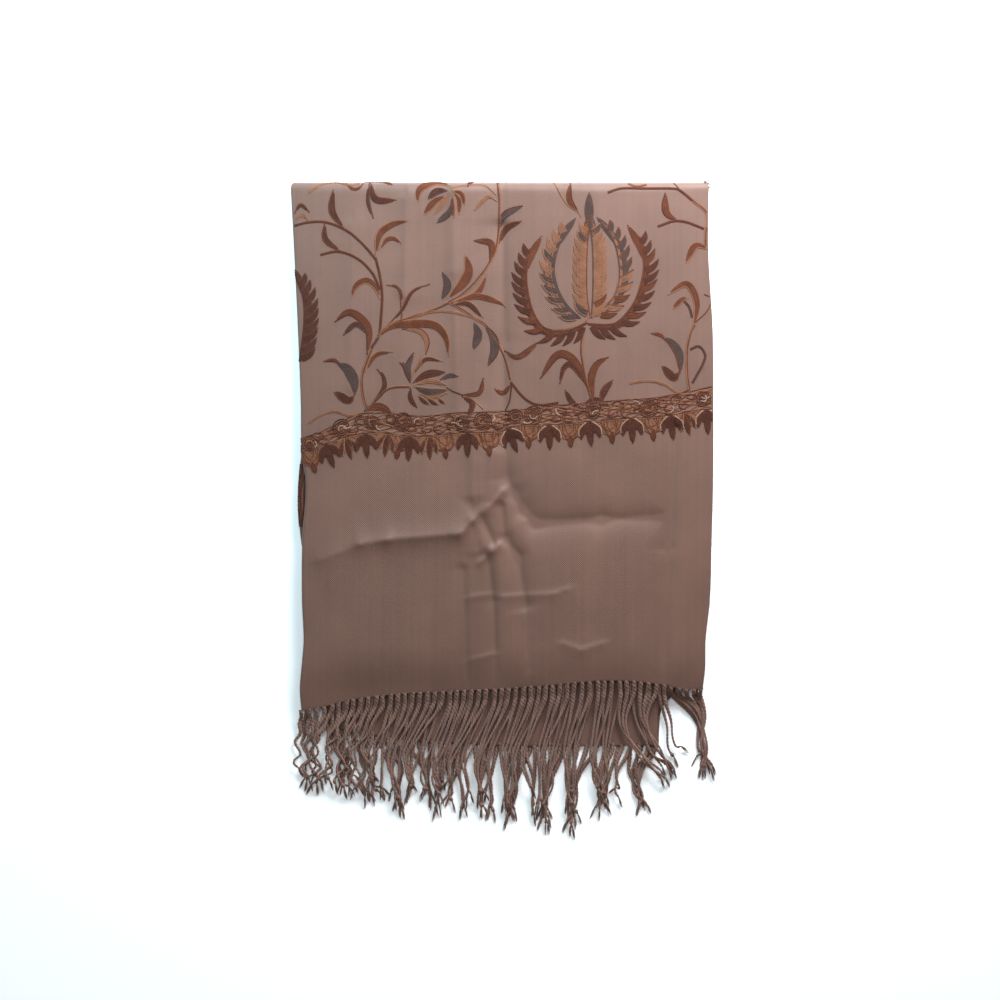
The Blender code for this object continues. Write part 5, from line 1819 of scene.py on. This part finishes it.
class StageSettings(bpy.types.PropertyGroup):
    """What can be set for the floor, lights and camera."""

    floor_colour: bpy.props.FloatVectorProperty(
        name="Floor colour",
        description="Colour of the pale floor",
        subtype="COLOR",
        size=3,
        min=0,
        max=1,
        default=(0.97, 0.97, 0.97),
    )
    floor_size: bpy.props.FloatProperty(
        name="Floor size",
        description="Width of the floor",
        subtype="DISTANCE",
        unit="LENGTH",
        default=8.0,
    )
    key_power: bpy.props.FloatProperty(
        name="Key light", description="Power of the light beyond the top fold", unit="POWER", default=34.0
    )
    fill_power: bpy.props.FloatProperty(
        name="Fill light", description="Power of the soft light above", unit="POWER", default=15.0
    )
    window_power: bpy.props.FloatProperty(
        name="Window light", description="Power of the cool light at the left", unit="POWER", default=5.0
    )
    bounce_power: bpy.props.FloatProperty(
        name="Bounce light", description="Power of the weak light below", unit="POWER", default=3.3
    )
    room_light: bpy.props.FloatProperty(
        name="Room light", description="Strength of the light from all round", default=0.2
    )
    camera_height: bpy.props.FloatProperty(
        name="Camera height",
        description="How far the camera is above the cloth",
        subtype="DISTANCE",
        unit="LENGTH",
        default=2.4,
    )


class SHAWL_OT_cloth(bpy.types.Operator):
    """Build the folded twill cloth: front end, inner end and hidden layers"""

    bl_idname = "shawl.cloth"
    bl_label = "Folded cloth"

    def execute(self, context):
        settings = context.scene.shawl_cloth
        cloths = (front_cloth(settings), hidden_cloth(settings), inner_cloth(settings))
        return {"FINISHED"}


class SHAWL_OT_embroidery(bpy.types.Operator):
    """Work the vines, flowers and border in chain stitch"""

    bl_idname = "shawl.embroidery"
    bl_label = "Embroidery"

    def execute(self, context):
        front_embroidery(context.scene.shawl_embroidery)
        back_embroidery(context.scene.shawl_embroidery)
        return {"FINISHED"}


class SHAWL_OT_fringes(bpy.types.Operator):
    """Twist and lay the fringes of both ends"""

    bl_idname = "shawl.fringes"
    bl_label = "Fringes"

    def execute(self, context):
        material = yarn_material(context.scene.shawl_fringe.colour)
        for ply in FRINGE_PLIES:
            fringe(ply, material)
        corner_tuft(material)
        return {"FINISHED"}


class SHAWL_OT_stage(bpy.types.Operator):
    """Set the floor, the lights and the camera"""

    bl_idname = "shawl.stage"
    bl_label = "Stage"

    def execute(self, context):
        stage(context.scene.shawl_stage)
        return {"FINISHED"}


class SHAWL_PT_panel(bpy.types.Panel):
    """Lists the pieces of the shawl"""

    bl_idname = "SHAWL_PT_panel"
    bl_label = "Embroidered shawl"
    bl_space_type = "VIEW_3D"
    bl_region_type = "UI"
    bl_category = "Shawl"

    def draw(self, context):
        for operator in OPERATORS:
            self.layout.operator(operator.bl_idname)


OPERATORS = (SHAWL_OT_cloth, SHAWL_OT_embroidery, SHAWL_OT_fringes, SHAWL_OT_stage)
SETTINGS = (
    ("shawl_cloth", ClothSettings),
    ("shawl_embroidery", EmbroiderySettings),
    ("shawl_fringe", FringeSettings),
    ("shawl_stage", StageSettings),
)


def register():
    """Makes the settings, operators and panel known."""
    for _, settings in SETTINGS:
        bpy.utils.register_class(settings)
    for operator in OPERATORS:
        bpy.utils.register_class(operator)
    bpy.utils.register_class(SHAWL_PT_panel)
    for name, settings in SETTINGS:
        setattr(bpy.types.Scene, name, bpy.props.PointerProperty(type=settings))


def unregister():
    """Takes them away again."""
    for name, _ in SETTINGS:
        delattr(bpy.types.Scene, name)
    bpy.utils.unregister_class(SHAWL_PT_panel)
    for operator in reversed(OPERATORS):
        bpy.utils.unregister_class(operator)
    for _, settings in reversed(SETTINGS):
        bpy.utils.unregister_class(settings)


def main():
    """Builds the shawl and its stage."""
    register()
    bpy.ops.shawl.cloth()
    bpy.ops.shawl.embroidery()
    bpy.ops.shawl.fringes()
    bpy.ops.shawl.stage()


if __name__ == "__main__":
    main()
